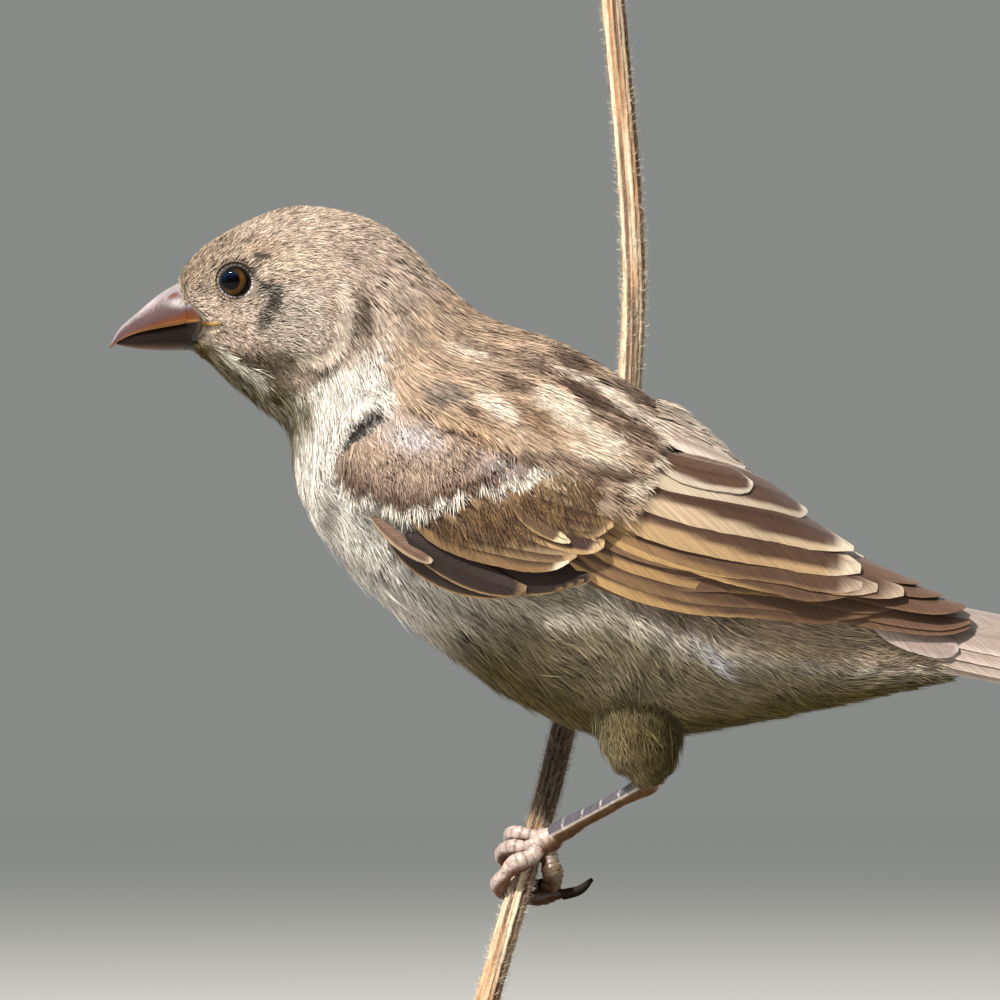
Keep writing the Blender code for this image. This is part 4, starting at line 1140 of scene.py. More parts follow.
def make_scapulars(rng, side, wing):
    """Scapulars over the wing's top, near-black hairs along its front edge as painted shade, and breast hairs
    over the bend.
    """
    out = Strands()
    n = 620
    v = rng.uniform(0, 1, n)
    s = 5.9 + 3.05 * v
    a = 66 - 20 * v + rng.uniform(-18, 9, n)
    inner = step(20, 0, a - (66 - 20 * v) + 12)
    high = 2.5 - 1.4 * inner
    plumes(out, rng, s, a * side, rng.normal(3, 4, n), rng.uniform(3.2, 4.8, n), rng.uniform(0.9, 1.3, n),
           high - 1.2, high + rng.uniform(-0.15, 0.15, n), mantle, 16, 0.14, 10, 0.7, 1.08, jitter=0.26)
    # The longest close over the roots of the tertials.
    for x0, z0, x1, z1 in LONG_SCAPULARS:
        m = 26
        v = rng.uniform(0, 0.6, m)[:, None]
        at = np.array(find(x0, z0)) * (1 - v) + np.array(find(x1, z1)) * v
        plumes(out, rng, at[:, 0], (at[:, 1] + rng.normal(0, 1.8, m)) * side, (0, 4), (2.2, 3.1), 0.9, 1.8,
               (2.7, 3.0), mantle, 14, 0.14, 12, 0.75, 1.1, jitter=0.2)
    # Near-black hairs along the wing's front edge: painted shade of the gap between breast and wing.
    m = 64
    at = spline(WING_FRONT, rng.uniform(2.3, 4.8, m))
    plumes(out, rng, at[:, 0] + rng.normal(0.0, 0.02, m), at[:, 1] * side, (4, 20), (0.5, 0.8), 0.2, 0.0,
           (0.3, 0.7), rgb(44, 34, 30), 3, 0.1, 16, 0.8, 1.0, spread=0.06)
    # Breast hairs over the bend of the wing.
    m = 150
    at = spline(WING_FRONT, rng.uniform(2.2, 5.0, m))
    plumes(out, rng, at[:, 0] - 0.28 + rng.normal(0, 0.04, m), at[:, 1] * side, (4, 14), (1.2, 2.0), 0.4, 0.0,
           (0.4, 1.0), markings, 5, 0.09, 16, 0.4, 1.1)
    finish(out.piece(wing + "_scapulars", BARBS), "wing_feathers")


def make_wing(side, wing):
    """Folded wing, from its flight feathers out to its scapulars."""
    rng = np.random.default_rng(90 + side)
    make_flight(rng, side, wing)
    make_great_coverts(side, wing)
    make_small_coverts(rng, side, wing)
    make_scapulars(rng, side, wing)


make_wing(1, "wing_left")
make_wing(-1, "wing_right")


def make_tail():
    """Twelve tail feathers, the middle pair on top, six more below and a cover on each side."""
    out = Vanes(4)
    base = rgb(158, 141, 130)
    shade = web(base * 0.92, base, rgb(186, 168, 155), rgb(186, 168, 155), 0.85, 0.8, 0.98)
    shape = {"blunt": 0.88, "tilt": 0.12, "camber": 0.1, "form": tail_form}
    for k in range(6):
        place = 0.1 + (5 - k) / 5
        low = 0.02 + 0.03 * k
        for out.side in (1, -1):
            out.add((-0.3, 0.2 + 0.7 * place), (0.985 - 0.05 * place**4, place), 2.6,
                    low + 1.5 * step(1.5, 0.0, place), low, shade, seed=120 + k, **shape)
    for place in (1.35, 1.65, 1.95):
        for out.side in (1, -1):
            out.add((-0.3, 0.4 + 0.7 * place), (0.93, place), 2.6, 0.02, 0.02, shade, seed=140, **shape)
    pale = rgb(188, 172, 164)
    shade = web(rgb(160, 141, 132), rgb(144, 126, 118), pale, pale, 0.9, 0.8, 0.96)
    for out.side in (1, -1):
        out.add((12.8, 43), (13.92, 52), 1.6, 0.6, 0.9, shade, 0.0, 0.6, 0.1, seed=131)
    finish(out.piece("tail_feathers", VANES), "tail_feathers", "tail")


make_tail()


# --- bill
def loft(rings, colours, name, material):
    """Closed surface through rings of points."""
    r, c = rings.shape[:2]
    rings = np.concatenate([rings, rings[:, :1]], 1)
    colours = np.concatenate([colours, colours[:, :1]], 1)
    uv = np.stack(np.meshgrid(np.linspace(0.01, 0.99, r), np.linspace(0.01, 0.99, c + 1), indexing="ij"), -1)
    return build(name, rings, [grid_faces(r, c + 1)], colours, uv, material)


HORN_AMBER = rgb(100, 54, 24)
GREY_HORN_AND_HIGHLIGHT = rgb(150, 140, 140)
HORN_BLACK = rgb(24, 12, 6)


def upper_horn(x, z, high, near):
    """Colour of the upper bill, with painted highlights on its ridge: high is 0 at its edge and 1 on its
    ridge, near 1 at its base.
    """
    c = mix(rgb(74, 56, 56), HORN_AMBER, step(0.2, 0.08, high) * near)
    c = mix(c, rgb(176, 128, 74), step(0.06, 0.01, high) * 0.6)
    c = mix(c, HORN_AMBER * 0.9, blob(x, z, -42.2, 99.9, 1.7, 0.65, 8, 0.8) * 0.8)
    fleck = 0.08 * np.sin(x * 9 + 4 * np.sin(z * 5)) * np.sin(z * 11 + 3 * np.sin(x * 4))
    # The ridge's pale grey is partly the horn's own grey and partly painted highlight; the brighter oval
    # below the nostril is a painted highlight.
    c = mix(c, GREY_HORN_AND_HIGHLIGHT, step(0.46, 0.92, high + fleck))
    return mix(c, GREY_HORN_AND_HIGHLIGHT * 1.5, blob(x, z, -43.3, 101.3, 2.4, 0.85, -4, 0.9) * (0.7 + 4 * fleck))


def make_mandible(name, rows, upper, horn):
    """Horn of one half of the bill, the upper one with the nostril."""
    steps, arch = 70, 44
    t = np.linspace(0, 1, steps)
    row = spline(rows, t * 5)
    a = np.linspace(0, np.pi, arch)[None]
    x, outer, edge, half = (row[:, k][:, None] for k in range(4))
    if not upper:
        edge = edge + 0.42
        half = half * 0.95
    z = edge + (outer - edge) * np.sin(a)**(0.8 if upper else 0.7)
    y = MIDLINE_Y + half * np.cos(a)
    xx = x - 0.22 * (1 - t[:, None])**3 * (z - 98.6)
    pit = np.exp(-(((xx + 44.0) / 0.55)**2 + ((z - 102.15 - 0.3 * (xx + 44)) / 0.3)**2)**2) * upper
    y = y + np.sign(MIDLINE_Y - y) * 0.4 * pit
    under = np.stack([xx[:, ::-1], y[:, ::-1] * 0.98 + MIDLINE_Y * 0.02,
                      edge + (0.25 if upper else -0.25) * np.sin(a) + 0 * xx], -1)
    ring = np.concatenate([np.stack([xx, y, z + 0 * xx], -1), under[:, 1:-1]], 1)
    high = np.sin(a) + 0 * xx
    if upper:
        near = 0.4 + 0.6 * step(0.75, 0.3, t)[:, None]
        c = mix(upper_horn(xx, z, high, near), rgb(116, 58, 44), pit)
        c = mix(c, HORN_AMBER, step(0.93, 1.0, t)[:, None] * 0.6)
    else:
        c = mix(HORN_BLACK, rgb(82, 46, 12), step(0.5, 0.95, high) * step(0.1, 0.5, t)[:, None])
    colour = np.concatenate([c, np.broadcast_to(c[:, :1], (steps, arch - 2, 3))], 1)
    finish(loft(ring, colour, name + "_horn", horn), "bill_horn", name)


def on_side(side, y):
    """The same distance from the midline, on a given side."""
    return MIDLINE_Y + side * np.abs(y - MIDLINE_Y)


def make_corner(word, side, horn):
    """Where the bill's two halves meet the face, and the yellowish gape behind."""
    t = np.linspace(0, 1, 30)[:, None]
    v = np.linspace(-1, 1, 17)[None]
    x = -42.8 + 2.4 * t + 0 * v
    top, bottom = 101.6 - 1.9 * t**1.5, 95.9 + 2.0 * t**1.5
    end = np.sqrt(1 - t**3 * 0.98)
    line = 98.8 + 0.35 * t
    z = line + np.where(v > 0, top - line, line - bottom) * v * end
    at = np.array([find(px, pz) for px, pz in zip(x.ravel(), z.ravel())])
    lift = (-0.6 + 0.75 * step(0.0, 0.3, t) * (1 - 0.5 * v**6) - 0.5 * step(0.75, 1.0, t)).ravel()
    y = on_side(side, plain_body(at[:, 0], at[:, 1], lift)[:, 1].reshape(x.shape))
    tone = upper_horn(x, z, np.clip((z - line) / 4.9, 0, 1)**1.25, 1.0)
    tone = mix(tone, HORN_BLACK, step(0.02, -0.06, v) + 0 * t)
    # Painted shade in the slit where the two halves close.
    tone = mix(tone, rgb(14, 9, 7), np.exp(-(v / 0.05)**2) + 0 * t)
    tone = mix(tone, rgb(88, 70, 52), step(0.55, 0.95, t) * np.ones_like(v))
    uv = np.stack([t + 0 * v, v * 0.5 + 0.5 + 0 * t], -1) * 0.96 + 0.02
    finish(build("bill_corner_" + word, np.stack([x, y, z], -1), [grid_faces(30, 17)], tone, uv, horn),
           "bill_horn")
    t = np.linspace(0, 1, 24)
    x = -40.6 + 2.4 * t
    z = 98.95 - 0.15 * np.sin(np.pi * t)
    y = on_side(side, np.array([plain_body(*find(px, pz), 0.1 - 0.5 * (1 - k)**2)[1]
                                for px, pz, k in zip(x, z, t)]))
    q = np.linspace(0, TAU, 12, endpoint=False)
    thick = 0.24 * np.sqrt(np.clip(1 - t**3, 0.001, 1))[:, None]
    ring = np.stack([x[:, None] + 0 * q, y[:, None] + thick * np.cos(q), z[:, None] + thick * np.sin(q)], -1)
    tone = mix(rgb(84, 58, 32), rgb(132, 106, 58), step(0.1, 0.6, t)[:, None] + 0 * q)
    finish(loft(ring, tone, "gape_" + word, horn), "bill_horn")


def make_bill():
    """Horn of both mandibles, their corners and the gape."""
    horn = painted("bill_horn", 0.42, 0.12, 420.0, 0.8, 1.2, (0.3, 0.0001), (0.4, 1, 1), coat=0.03)
    make_mandible("bill_upper", UPPER_BILL, 1, horn)
    make_mandible("bill_lower", LOWER_BILL, 0, horn)
    for word, side in (("left", -1), ("right", 1)):
        make_corner(word, side, horn)


# --- eyes
EYE_SIZE = 0.985  # of the solid's radius, so that the ball lies inside it
PUPIL_EDGE = (27.5, 31.5)  # degrees from the middle of the gaze
IRIS_EDGE = (44, 50)


def make_eyeball(word, side, centre, radius, wet):
    """Ball with its pupil, a painted blue reflection of sky on it, an iris painted lighter on its lower rear
    side, and dark rim.
    """
    p = np.linspace(0, np.pi, 48)[:, None]
    q = np.linspace(0, TAU, 64, endpoint=False)[None]
    gaze = unit(np.array((-0.24, side, 0.02)))
    right = unit(np.cross(gaze, (0, 0, 1))) * side
    out = (gaze * np.cos(p)[..., None] + right * (np.sin(p) * np.cos(q))[..., None]
           + UP * (np.sin(p) * np.sin(q))[..., None])
    opened = np.degrees(p) + 0 * q
    # Painted light: the iris is lighter on its lower rear side; the sky mask lays a painted blue reflection
    # on the pupil's upper part.
    iris = mix(rgb(22, 15, 10), rgb(76, 50, 21), step(-0.6, 0.7, np.cos(q + 0.7)) + 0 * p)
    sky = step(0.0, 1.0, np.sin(q - 0.3)) * step(6, 28, np.degrees(p))
    colour = mix(mix(rgb(2, 2, 4), rgb(9, 26, 46), sky), iris, step(*PUPIL_EDGE, opened))
    colour = mix(colour, rgb(8, 6, 6), step(*IRIS_EDGE, opened))
    finish(loft(centre + unit(out) * radius, colour, "eyeball_" + word, wet), "eye", "eye_" + word)


def crest(t, at, width):
    """Rise and fall of a fold round a place on the lid."""
    return np.exp(-((t - at) / width)**2)


def make_eyelid(word, side, centre, radius, lid):
    """Ring of two beaded folds: t runs outward from the eye's opening, q round it."""
    t = np.linspace(0, 1, 25)[:, None]
    q = np.linspace(0, TAU, 180, endpoint=False)[None]
    rear = np.exp(-(((q + 0.5 + np.pi) % TAU - np.pi) / 0.55)**2)
    wide = 1.6 + t * (0.95 + 0.5 * rear)
    gap = np.sqrt(radius**2 - np.minimum(wide, 2.05 - 0.2 * rear)**2)
    beads = np.cos(q * 26 + 1.6 * np.sin(q * 7) + 2.0 * np.sin(q * 3)) * crest(t, 0.42, 0.12)
    second = np.cos(q * 33 + 2.2 * np.sin(q * 5)) * crest(t, 0.78, 0.1)
    over = 0.22 * crest(t, 0.42, 0.14) + 0.26 * crest(t, 0.78, 0.12)
    over = gap + 0.02 + over + 0.07 * beads + 0.08 * second + 0.16 * t - 0.5 * step(0.88, 1.0, t)
    to_tail = np.array((1.0, 0.0, 0.0))
    points = (centre - LEFT * side * over[..., None] + to_tail * (wide * np.cos(q))[..., None]
              + UP * (wide * 0.97 * np.sin(q))[..., None])
    # Painted shade: the lid is darker over its upper half, under the brow, and towards the bill.
    pale = mix(rgb(162, 152, 152), rgb(74, 62, 54), step(0.1, 0.8, np.sin(q + 0.2)) + 0 * t)
    pale = mix(pale, rgb(70, 58, 50), step(-0.5, -0.95, np.cos(q + 0.3)) * 0.75 + 0 * t)
    cream = mix(rgb(150, 132, 108), rgb(96, 80, 66), step(-0.2, 0.6, np.sin(q + 0.2)) + 0 * t)
    pale = mix(pale, cream, step(0.55, 0.7, t) + 0 * q)
    tone = mix(rgb(12, 10, 10), pale, step(0.22, 0.36, t) + 0 * q)
    # Painted shade in the crease between the two folds, darkest above.
    groove = mix(rgb(92, 60, 46), rgb(34, 24, 20), step(-0.3, 0.5, np.sin(q + 0.2)))
    tone = mix(tone, groove + 0 * tone, crest(t, 0.6, 0.08) + 0 * q)
    tone = mix(tone, rgb(104, 90, 74), step(0.86, 0.98, t) + 0 * q)
    # Painted light on the crests of the beads and painted shade between them.
    tone = tone * (1 + 0.75 * beads + 0.5 * second)[..., None]
    finish(loft(points, tone, "eyelid_" + word, lid), "plumage")


def make_eyes():
    """Dark brown eyes with a black pupil, a wet front and a beaded ring of lid."""
    wet = painted("eye_wet", 0.04, 0.0, 3000.0, 0.8, 1.2, coat=1.0, Coat_Roughness=0.02, Coat_IOR=1.2)
    lid = painted("eyelid", 0.6, 0.3, 2500.0, 0.7, 1.2, (0.5, 0.0001))
    for word, side in (("left", -1), ("right", 1)):
        low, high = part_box("eye_" + word)
        centre = (np.array(low) + np.array(high)) / 2 / MM
        radius = (high[0] - low[0]) / 2 / MM * EYE_SIZE
        make_eyeball(word, side, centre, radius, wet)
        make_eyelid(word, side, centre, radius, lid)


# --- stem
STEM_RIBS = 13
STEM_HAIRS = 9500


def make_stem():
    """Dry ribbed stem with short hairs on its edges."""
    made = painted("dry_stem", 0.85, 0.2, 260.0, 0.72, 1.22, (0.8, 0.0003), (6, 6, 1))
    rows, columns = 400, 72
    s, a = sheet((0, 8), (0, 360), rows, columns, endpoint=False)
    rng = np.random.default_rng(9)
    r = np.radians(a)
    drift = 0.25 * np.sin(s * 1.1)
    wave = np.cos((r + drift) * STEM_RIBS)
    lift = -0.12 + 0.09 * wave + 0.03 * np.sin(s * 37 + 5 * np.cos(r * 3)) + rng.normal(0, 0.012, s.shape)
    points = stem_form(s, a, lift)
    stripes = rng.uniform(0, 1, (9, STEM_RIBS + 1))
    which = (((r + drift) / TAU * STEM_RIBS) % STEM_RIBS).astype(int) % STEM_RIBS
    long = np.clip(s, 0, 7.999)
    low = long.astype(int)
    tone = stripes[low, which] * (1 - long % 1) + stripes[low + 1, which] * (long % 1)
    in_shade = lambda z: step(72, 62, z) * step(36, 46, z)  # of the belly and the feet
    straw, orange, brown = rgb(214, 192, 162), rgb(176, 132, 94), rgb(112, 86, 66)
    colour = mix(mix(straw, orange, step(0.35, 0.55, tone)), brown, step(0.55, 0.75, tone))
    colour = mix(colour, rgb(214, 198, 172), step(0.2, 1.0, wave) * 0.45)
    # Painted shade: the stem's side away from the key lamp darkens towards brown.
    off = (points - points.mean(1, keepdims=True))[..., 0]
    colour = mix(colour, brown * 0.7, step(0.1, 0.9, off / np.abs(off).max(1, keepdims=True)) * 0.6)
    colour = mix(colour, colour * 0.34, in_shade(points[..., 2]))
    flecks = rng.normal(0, 1, (rows // 4, columns)).repeat(4, 0)
    colour = colour * (1 + 0.12 * flecks + 0.1 * np.sin(s * 9 + 3 * np.sin(r * 2)))[..., None]
    for k in (0, -1):
        points[k] = points[k].mean(0) + (points[k] - points[k].mean(0)) * 0.02
    finish(loft(points, colour, "stem_ribbed", made), "dry_stem", "perch_stem")
    out = Strands()
    n = STEM_HAIRS
    s = rng.uniform(0.1, 7.9, n)
    a = rng.uniform(0, 360, n)
    tone = rgb(226, 212, 190) * (1 - 0.7 * in_shade(stem_form(s, a)[:, 2:]))
    out.add(stem_form, s, a, rng.normal(0, 50, n), rng.uniform(0.35, 0.8, n), np.full(n, 0.045),
            -0.08, rng.uniform(0.2, 0.72, n), tone * 0.8, tone, rng.normal(0, 40, n), 3, 0.0,
            np.stack([s / 8 * 0.98 + 0.01, a / 360 * 0.98 + 0.01], -1))
    finish(out.piece("stem_hairs", made), "dry_stem")


# --- feet
LEFT_TOES = {
    "inner": ((5, -0.2, 2.9), (45, -0.2, 3.2), (82, 0.0, 2.8), (120, -0.3, 2.35), (148, -0.5, 2.4)),
    "middle": ((8, -1.9, 2.9), (45, -2.1, 3.2), (85, -2.3, 3.1), (125, -3.0, 2.6), (170, -5.0, 2.6),
               (208, -5.7, 2.7), (243, -4.8, 4.0), (256, -4.4, 5.4)),
    "outer": ((-12, -2.9, 2.9), (18, -4.3, 3.2), (48, -5.8, 2.7), (95, -6.4, 2.3), (150, -6.2, 2.5)),
    "hallux": ((-58, -2.0, 3.1), (-66, -3.4, 3.7), (-88, -4.2, 3.6), (-113, -4.0, 2.7)),
}
LEFT_CLAWS = {
    "inner": ((154, -0.1, 2.6), (180, -0.2, 3.0), (205, -0.4, 2.4)),
    "middle": ((256, -4.5, 5.4), (264, -3.7, 6.9), (268, -2.2, 7.9)),
    "outer": ((156, -6.6, 2.7), (185, -7.0, 2.9), (208, -7.6, 2.3)),
    "hallux": ((-124, -3.9, 2.7), (-150, -3.6, 3.0), (-172, -3.2, 2.4)),
}
RIGHT_TOES = {
    "inner": ((-132, 1.8, 2.9), (-165, 1.9, 3.4), (-200, 1.8, 3.1), (-232, 1.8, 2.5)),
    "middle": ((-136, 0.0, 2.9), (-170, 0.0, 3.5), (-212, 0.0, 3.1), (-250, 0.0, 2.5)),
    "outer": ((-132, -1.8, 2.9), (-165, -1.9, 3.4), (-200, -1.8, 3.1), (-236, -1.8, 2.5)),
    "hallux": ((-54, -0.4, 2.9), (-37, -0.6, 2.9), (-20, -0.8, 2.75), (-4, -1.0, 2.55)),
}
RIGHT_CLAWS = {
    "inner": ((-241, 1.8, 2.6), (-264, 1.7, 2.9), (-284, 1.6, 2.3)),
    "middle": ((-259, 0.0, 2.6), (-282, 0.0, 2.9), (-303, 0.0, 2.3)),
    "outer": ((-245, -1.8, 2.6), (-266, -1.8, 2.9), (-286, -1.8, 2.3)),
    "hallux": ((6, -1.0, 2.5), (22, -1.0, 2.7), (36, -1.0, 2.3)),
}
TOE_RADII = {"inner": np.array([0.8, 0.84, 0.8, 0.7, 0.6])[:, None],
             "middle": np.array([0.9, 0.84, 0.9, 0.8, 0.76, 0.8, 0.95, 0.7])[:, None],
             "outer": np.array([1.0, 1.08, 0.9, 0.95, 0.7])[:, None],
             "hallux": np.array([1.0, 1.12, 1.05, 0.8])[:, None]}
CLAW_RADII = np.array([0.64, 0.6, 0.48, 0.22])[:, None]
BALL_RADII = np.array([0.9, 1.25, 1.5, 1.2])[:, None]
TARSUS_RADII = np.array([1.35, 1.02, 0.95, 0.95, 1.02, 1.2, 1.1])[:, None]


def stem_grip(height):
    """Middle of the stem at a height, its direction, and the ways to the left side and ahead."""
    t = np.linspace(0.5, 6, 5001)
    k = np.abs(spline(STEM_ROWS, t)[:, 2] - height).argmin()
    axis = unit(spline(STEM_ROWS, t[k] + 0.08) - spline(STEM_ROWS, t[k] - 0.08))
    ahead = unit(np.array((-1.0, 0, 0)) + axis * axis[0])
    outward = np.cross(ahead, axis)
    return spline(STEM_ROWS, t[k]), axis, outward * -np.sign(outward[1]), ahead


def round_stem(grip, rows):
    """Points round the stem from rows of angle, height and distance, and their outward directions."""
    centre, axis, outward, ahead = grip
    rows = np.atleast_2d(np.array(rows, float))
    r = np.radians(rows[:, :1])
    out = outward * np.cos(r) + ahead * np.sin(r)
    return centre + axis * rows[:, 1:2] + out * rows[:, 2:3], out


def limb(path, radius, back, plates, kind, rng, sides=30):
    """Rings of points and colours of a toe, tarsus or claw. back points away from its sole."""
    n = len(path)
    along = unit(np.gradient(path, axis=0))
    back = unit(back - along * (back * along).sum(-1)[:, None])
    side = np.cross(along, back)
    q = np.linspace(0, TAU, sides, endpoint=False)[None]
    t = np.linspace(0, 1, n)[:, None]
    saw = (t * plates + 0.16 * np.cos(q)) % 1
    top = step(0.4, 0.6, np.cos(q)) if kind == "tarsus" else step(0.0, 0.75, np.cos(q))
    sole = step(0.0, -0.7, np.cos(q))
    grain = rng.normal(0, 1, (n, sides))
    if kind == "claw":
        swell = 0.0 * q + 0 * t
        tone = mix(rgb(26, 22, 20), rgb(40, 33, 28), step(0.5, -0.6, np.cos(q)) * (1 - 0.5 * t))
    else:
        swell = top * (0.11 * (1 - saw) - 0.03) + sole * 0.13 * np.abs(np.sin(np.pi * t * plates / 2))
        swell = swell + 0.09 * np.cos(TAU * t * plates / 4) * (kind == "toe")
        swell = swell + 0.025 * grain * (1 - top * (kind == "tarsus"))
        # On the toes the pale tops and brown undersides are partly their own scutes and skin, partly painted
        # light on top and painted shade below.
        if kind == "toe":
            plate, behind = rgb(180, 161, 151), rgb(104, 68, 46)
        else:
            plate, behind = rgb(84, 79, 88), rgb(88, 64, 38)
        tone = mix(behind, plate, top)
        rear = np.exp(-((np.cos(q) - 0.5) / 0.07)**2) * (kind == "tarsus") + 0 * t
        line = np.maximum(top * step(0.92, 0.985, saw), rear)
        line = np.maximum(line, np.exp(-((np.cos(q) + 0.86) / 0.08)**2) + 0 * t)
        tone = mix(tone, rgb(206, 194, 180), line * (0.7 if kind == "tarsus" else 0.3))
        tone = tone * (1 + (0.1 if kind == "tarsus" else 0.2) * grain * (1 - 0.6 * top))[..., None]
        # Painted shade on the underside, strongest on the toes.
        tone = mix(tone, rgb(74, 46, 34), sole * (0.6 if kind == "toe" else 0.1) * np.ones_like(t))
        if kind == "toe":
            # Darker brown at the ends of the plates and in random flecks.
            darker_plate_ends_and_flecks = np.maximum(step(0.8, 1.0, saw) * 0.8, step(1.2, 2.2, grain) * 0.6)
            tone = mix(tone, rgb(88, 54, 40), darker_plate_ends_and_flecks)
    r = radius[:, None] * (1 + swell)
    if kind != "claw":
        ends = np.sqrt(np.clip(1 - (2 * np.abs(t - 0.5))**14, 0.0, 1)) + 0.001
        r = r * ends
    return path[:, None] + (back[:, None] * np.cos(q)[..., None] + side[:, None] * np.sin(q)[..., None]
                            ) * r[..., None], tone


def strips(limbs, name, material):
    """One object of several limbs, each in its own strip of the map."""
    grids = []
    for k, pair in enumerate(limbs):
        ring, tone = (np.concatenate([v, v[:, :1]], 1) for v in pair)
        u, v = np.meshgrid(np.linspace(0.02, 0.98, ring.shape[0]), np.linspace(0.04, 0.96, ring.shape[1]),
                           indexing="ij")
        grids.append((ring, tone, np.stack([u, (v + k) / len(limbs)], -1)))
    return join(grids, name, material)


def make_feet():
    """Scaled tarsi and toes round the stem, and the claws."""
    rng = np.random.default_rng(17)
    skin = painted("leg_scales", 0.42, 0.5, 1400.0, 0.78, 1.2, (0.6, 0.00012), coat=0.1)
    horn = painted("claw_horn", 0.7, 0.1, 900.0, 0.8, 1.2, (0.3, 0.00008))
    for word, heel, height, ball, toes, claws in (
            ("left", (11.9, -11.0, 45.5), 37.8, (-32, 0.1, 3.15), LEFT_TOES, LEFT_CLAWS),
            ("right", (18.6, 4.2, 52.7), 57.2, (-92, 0.0, 3.15), RIGHT_TOES, RIGHT_CLAWS)):
        grip = stem_grip(height)
        foot = round_stem(grip, ball)[0][0]
        heel = np.array(heel)
        t = np.linspace(-0.06, 1.04, 110)[:, None]
        path = heel + (foot - heel) * t
        radius = spline(TARSUS_RADII, np.clip(t[:, 0], 0, 1) * 6)[:, 0]
        front = np.cross(np.cross(foot - heel, (-1.0, 0.0, 0.4)), foot - heel) * np.ones((110, 1))
        front = front * np.sign((front[0] * (-1.0, 0.0, 1.2)).sum())
        limbs = [limb(path, radius, front, 6.3, "tarsus", rng)]
        pad = np.stack([heel + (foot - heel) * 0.8, foot - (foot - heel) * 0.08 - (0, 0, 0.3),
                        foot - (0.8, 0, 0.7), foot - (1.7, -0.4, 1.1)])
        path = spline(pad, np.linspace(0, 3, 40))
        limbs.append(limb(path, spline(BALL_RADII, np.linspace(0, 3, 40))[:, 0],
                          front[:40] + (0.0, -0.8, 0.0), 8, "toe", rng))
        tips = []
        for toe, rows in toes.items():
            n = 70
            at = np.linspace(0, len(rows) - 1, n)
            path, out = round_stem(grip, spline(np.array(rows, float), at))
            start = foot + (path[0] - foot) * 0.35
            lead = start + (path[0] - start) * np.linspace(0, 1, 12)[:, None]
            path = np.concatenate([lead[:-1], path])
            out = np.concatenate([np.repeat(out[:1], 11, 0), out])
            radii = TOE_RADII[toe]
            radius = spline(radii, np.linspace(0, len(radii) - 1, len(path)))[:, 0]
            ring, tone = limb(path, radius, out, len(rows) * 2.4, "toe", rng)
            # Painted olive shade where the hallux and the end of the middle toe run behind the stem.
            if toe in ("hallux", "middle"):
                far = step(0.1, 0.3, np.linspace(0, 1, len(path)) - (0.6 if toe == "middle" else 0.0))
                tone = tone * mix(np.ones(3), np.array((0.36, 0.32, 0.22)), far)[:, None]
            limbs.append((ring, tone))
            rows = claws[toe]
            path, out = round_stem(grip, spline(np.array(rows, float), np.linspace(0, len(rows) - 1, 30)))
            path = np.concatenate([path[:1] * 2 - path[3:4], path])
            out = np.concatenate([out[:1], out])
            radius = spline(CLAW_RADII, np.linspace(0, 3, len(path)))[:, 0]
            tips.append(limb(path, radius, out, 1, "claw", rng, 16))
        finish(strips(limbs, "foot_" + word, skin), "leg_skin", "tarsus_" + word,
               *("toe_" + word + "_" + toe for toe in toes))
        finish(strips(tips, "claws_" + word, horn), "claw_horn",
               *("claw_" + word + "_" + toe for toe in toes))


make_bill()
make_eyes()
make_stem()
make_feet()


# --- carried nodes and the studio
def solid_material(name, one, other, scale, roughness, metallic=0.0, stretch=(1, 1, 1)):
    """Procedural finish of a carried node: two tones in noise, with bump."""
    made, tree, shader = principled(name, {"Roughness": roughness, "Metallic": metallic})
    noise = speckle(tree, in_object(tree), scale, 5.0, stretch)
    blend = node(tree, "Mix", {"Factor": noise, "A": (*one, 1), "B": (*other, 1)}, data_type="RGBA")
    tree.links.new(blend, shader.inputs["Base Color"])
    bump(tree, shader, noise, 0.3, 0.0002)
    return made


WOOD = solid_material("walnut", rgb(88, 58, 38), rgb(52, 32, 22), 90, 0.4, 0, (1, 8, 8))
BRASS = solid_material("old_brass", rgb(190, 152, 84), rgb(150, 116, 62), 300, 0.32, 1.0)
for name, obj in nodes.items():
    if name.startswith("stand_"):
        obj.data.materials.clear()
        obj.data.materials.append(WOOD if name == "stand_base" else BRASS)


SENSOR = 36
FRAME_WIDTH = 116.6  # what the camera's frame spans at the bird's left side
CAMERA_X, CAMERA_Z = -5.83, 78.3
CAMERA_DISTANCE = 1600
LEFT_SIDE_Y = -10
FLOOR_RADIUS = 2500


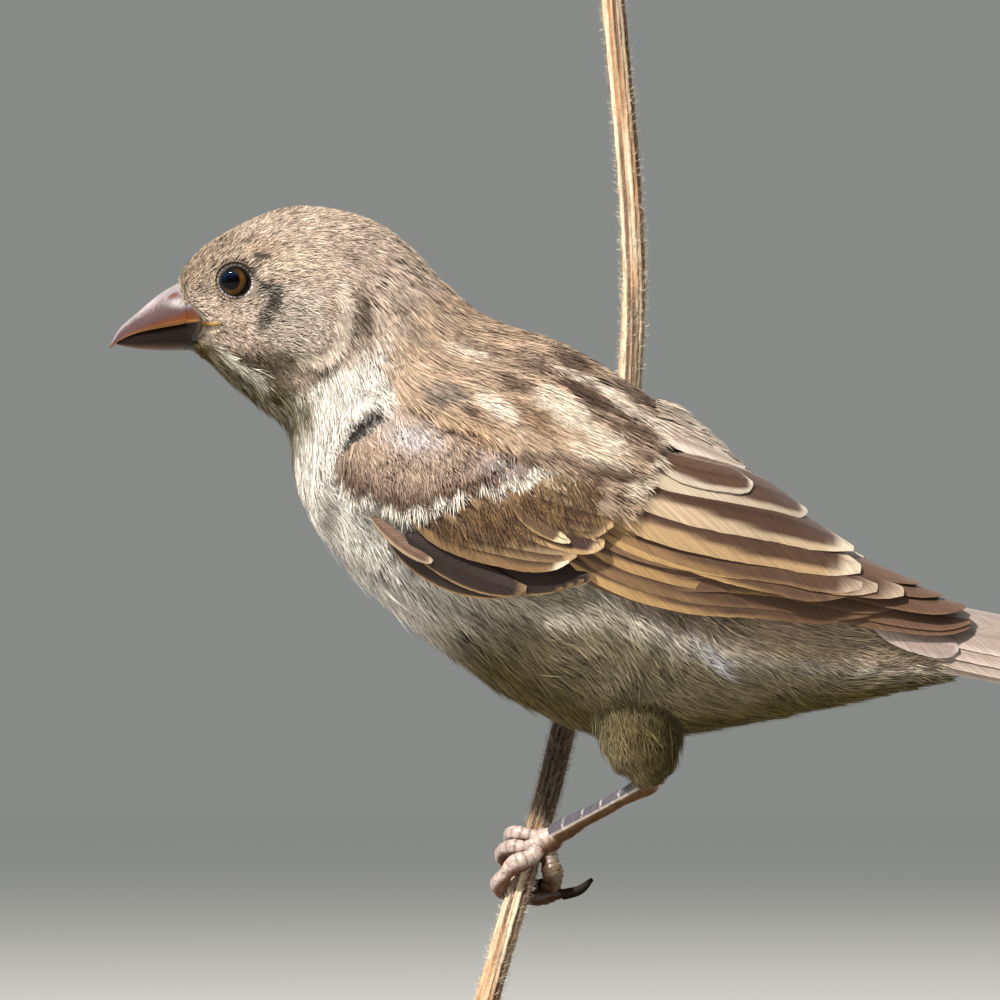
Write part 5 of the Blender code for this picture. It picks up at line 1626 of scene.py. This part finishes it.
def make_studio():
    """Pale floor that fades into the pale surroundings, a key lamp and two soft ones."""
    scene = bpy.context.scene
    made, tree, shader = principled("pale_floor", {"Base Color": (0.62, 0.61, 0.58, 1), "Roughness": 0.9})
    length = node(tree, "VectorMath", {0: in_object(tree)}, operation="LENGTH")
    tree.links.new(ramp(tree, length, 0.35, 1.9, 1.0, 0.0), shader.inputs["Alpha"])
    steps, around = 24, 96
    radius = np.linspace(0, FLOOR_RADIUS, steps)[:, None]
    q = np.linspace(0, TAU, around, endpoint=False)[None]
    points = np.stack([radius * np.cos(q), radius * np.sin(q), 0 * radius * q], -1)
    loft(points, np.ones((steps, around, 3)), "floor", made)
    world = bpy.data.worlds.new("studio")
    scene.world = world
    world.use_nodes = True
    back = world.node_tree.nodes["Background"]
    back.inputs["Color"].default_value = (0.72, 0.75, 0.72, 1)
    back.inputs["Strength"].default_value = 0.34
    scene.view_settings.view_transform = "Standard"

    def lamp(name, where, size, power, colour):
        data = bpy.data.lights.new(name, "AREA")
        data.shape = "DISK"
        data.size = size
        data.energy = power
        data.color = colour
        obj = bpy.data.objects.new(name, data)
        scene.collection.objects.link(obj)
        obj.location = where
        aim = Vector((0, 0, 0.085)) - obj.location
        obj.rotation_mode = "QUATERNION"
        obj.rotation_quaternion = aim.to_track_quat("-Z", "Y")

    lamp("key", (-0.42, -0.48, 0.80), 0.07, 20.5, (1.0, 0.97, 0.93))
    lamp("sky", (-0.15, -0.55, 1.1), 0.7, 1.5, (0.86, 0.93, 1.0))
    lamp("rim", (0.3, 0.8, 0.6), 0.5, 1.5, (1.0, 0.98, 0.94))
    cam = bpy.data.cameras.new("camera")
    cam.sensor_width = SENSOR
    cam.lens = SENSOR * (CAMERA_DISTANCE + LEFT_SIDE_Y) / FRAME_WIDTH
    cam.clip_start = 0.05
    cam.clip_end = 60
    obj = bpy.data.objects.new("camera", cam)
    scene.collection.objects.link(obj)
    obj.location = (CAMERA_X * MM, -CAMERA_DISTANCE * MM, CAMERA_Z * MM)
    obj.rotation_euler = (np.pi / 2, 0, 0)
    scene.camera = obj


make_studio()
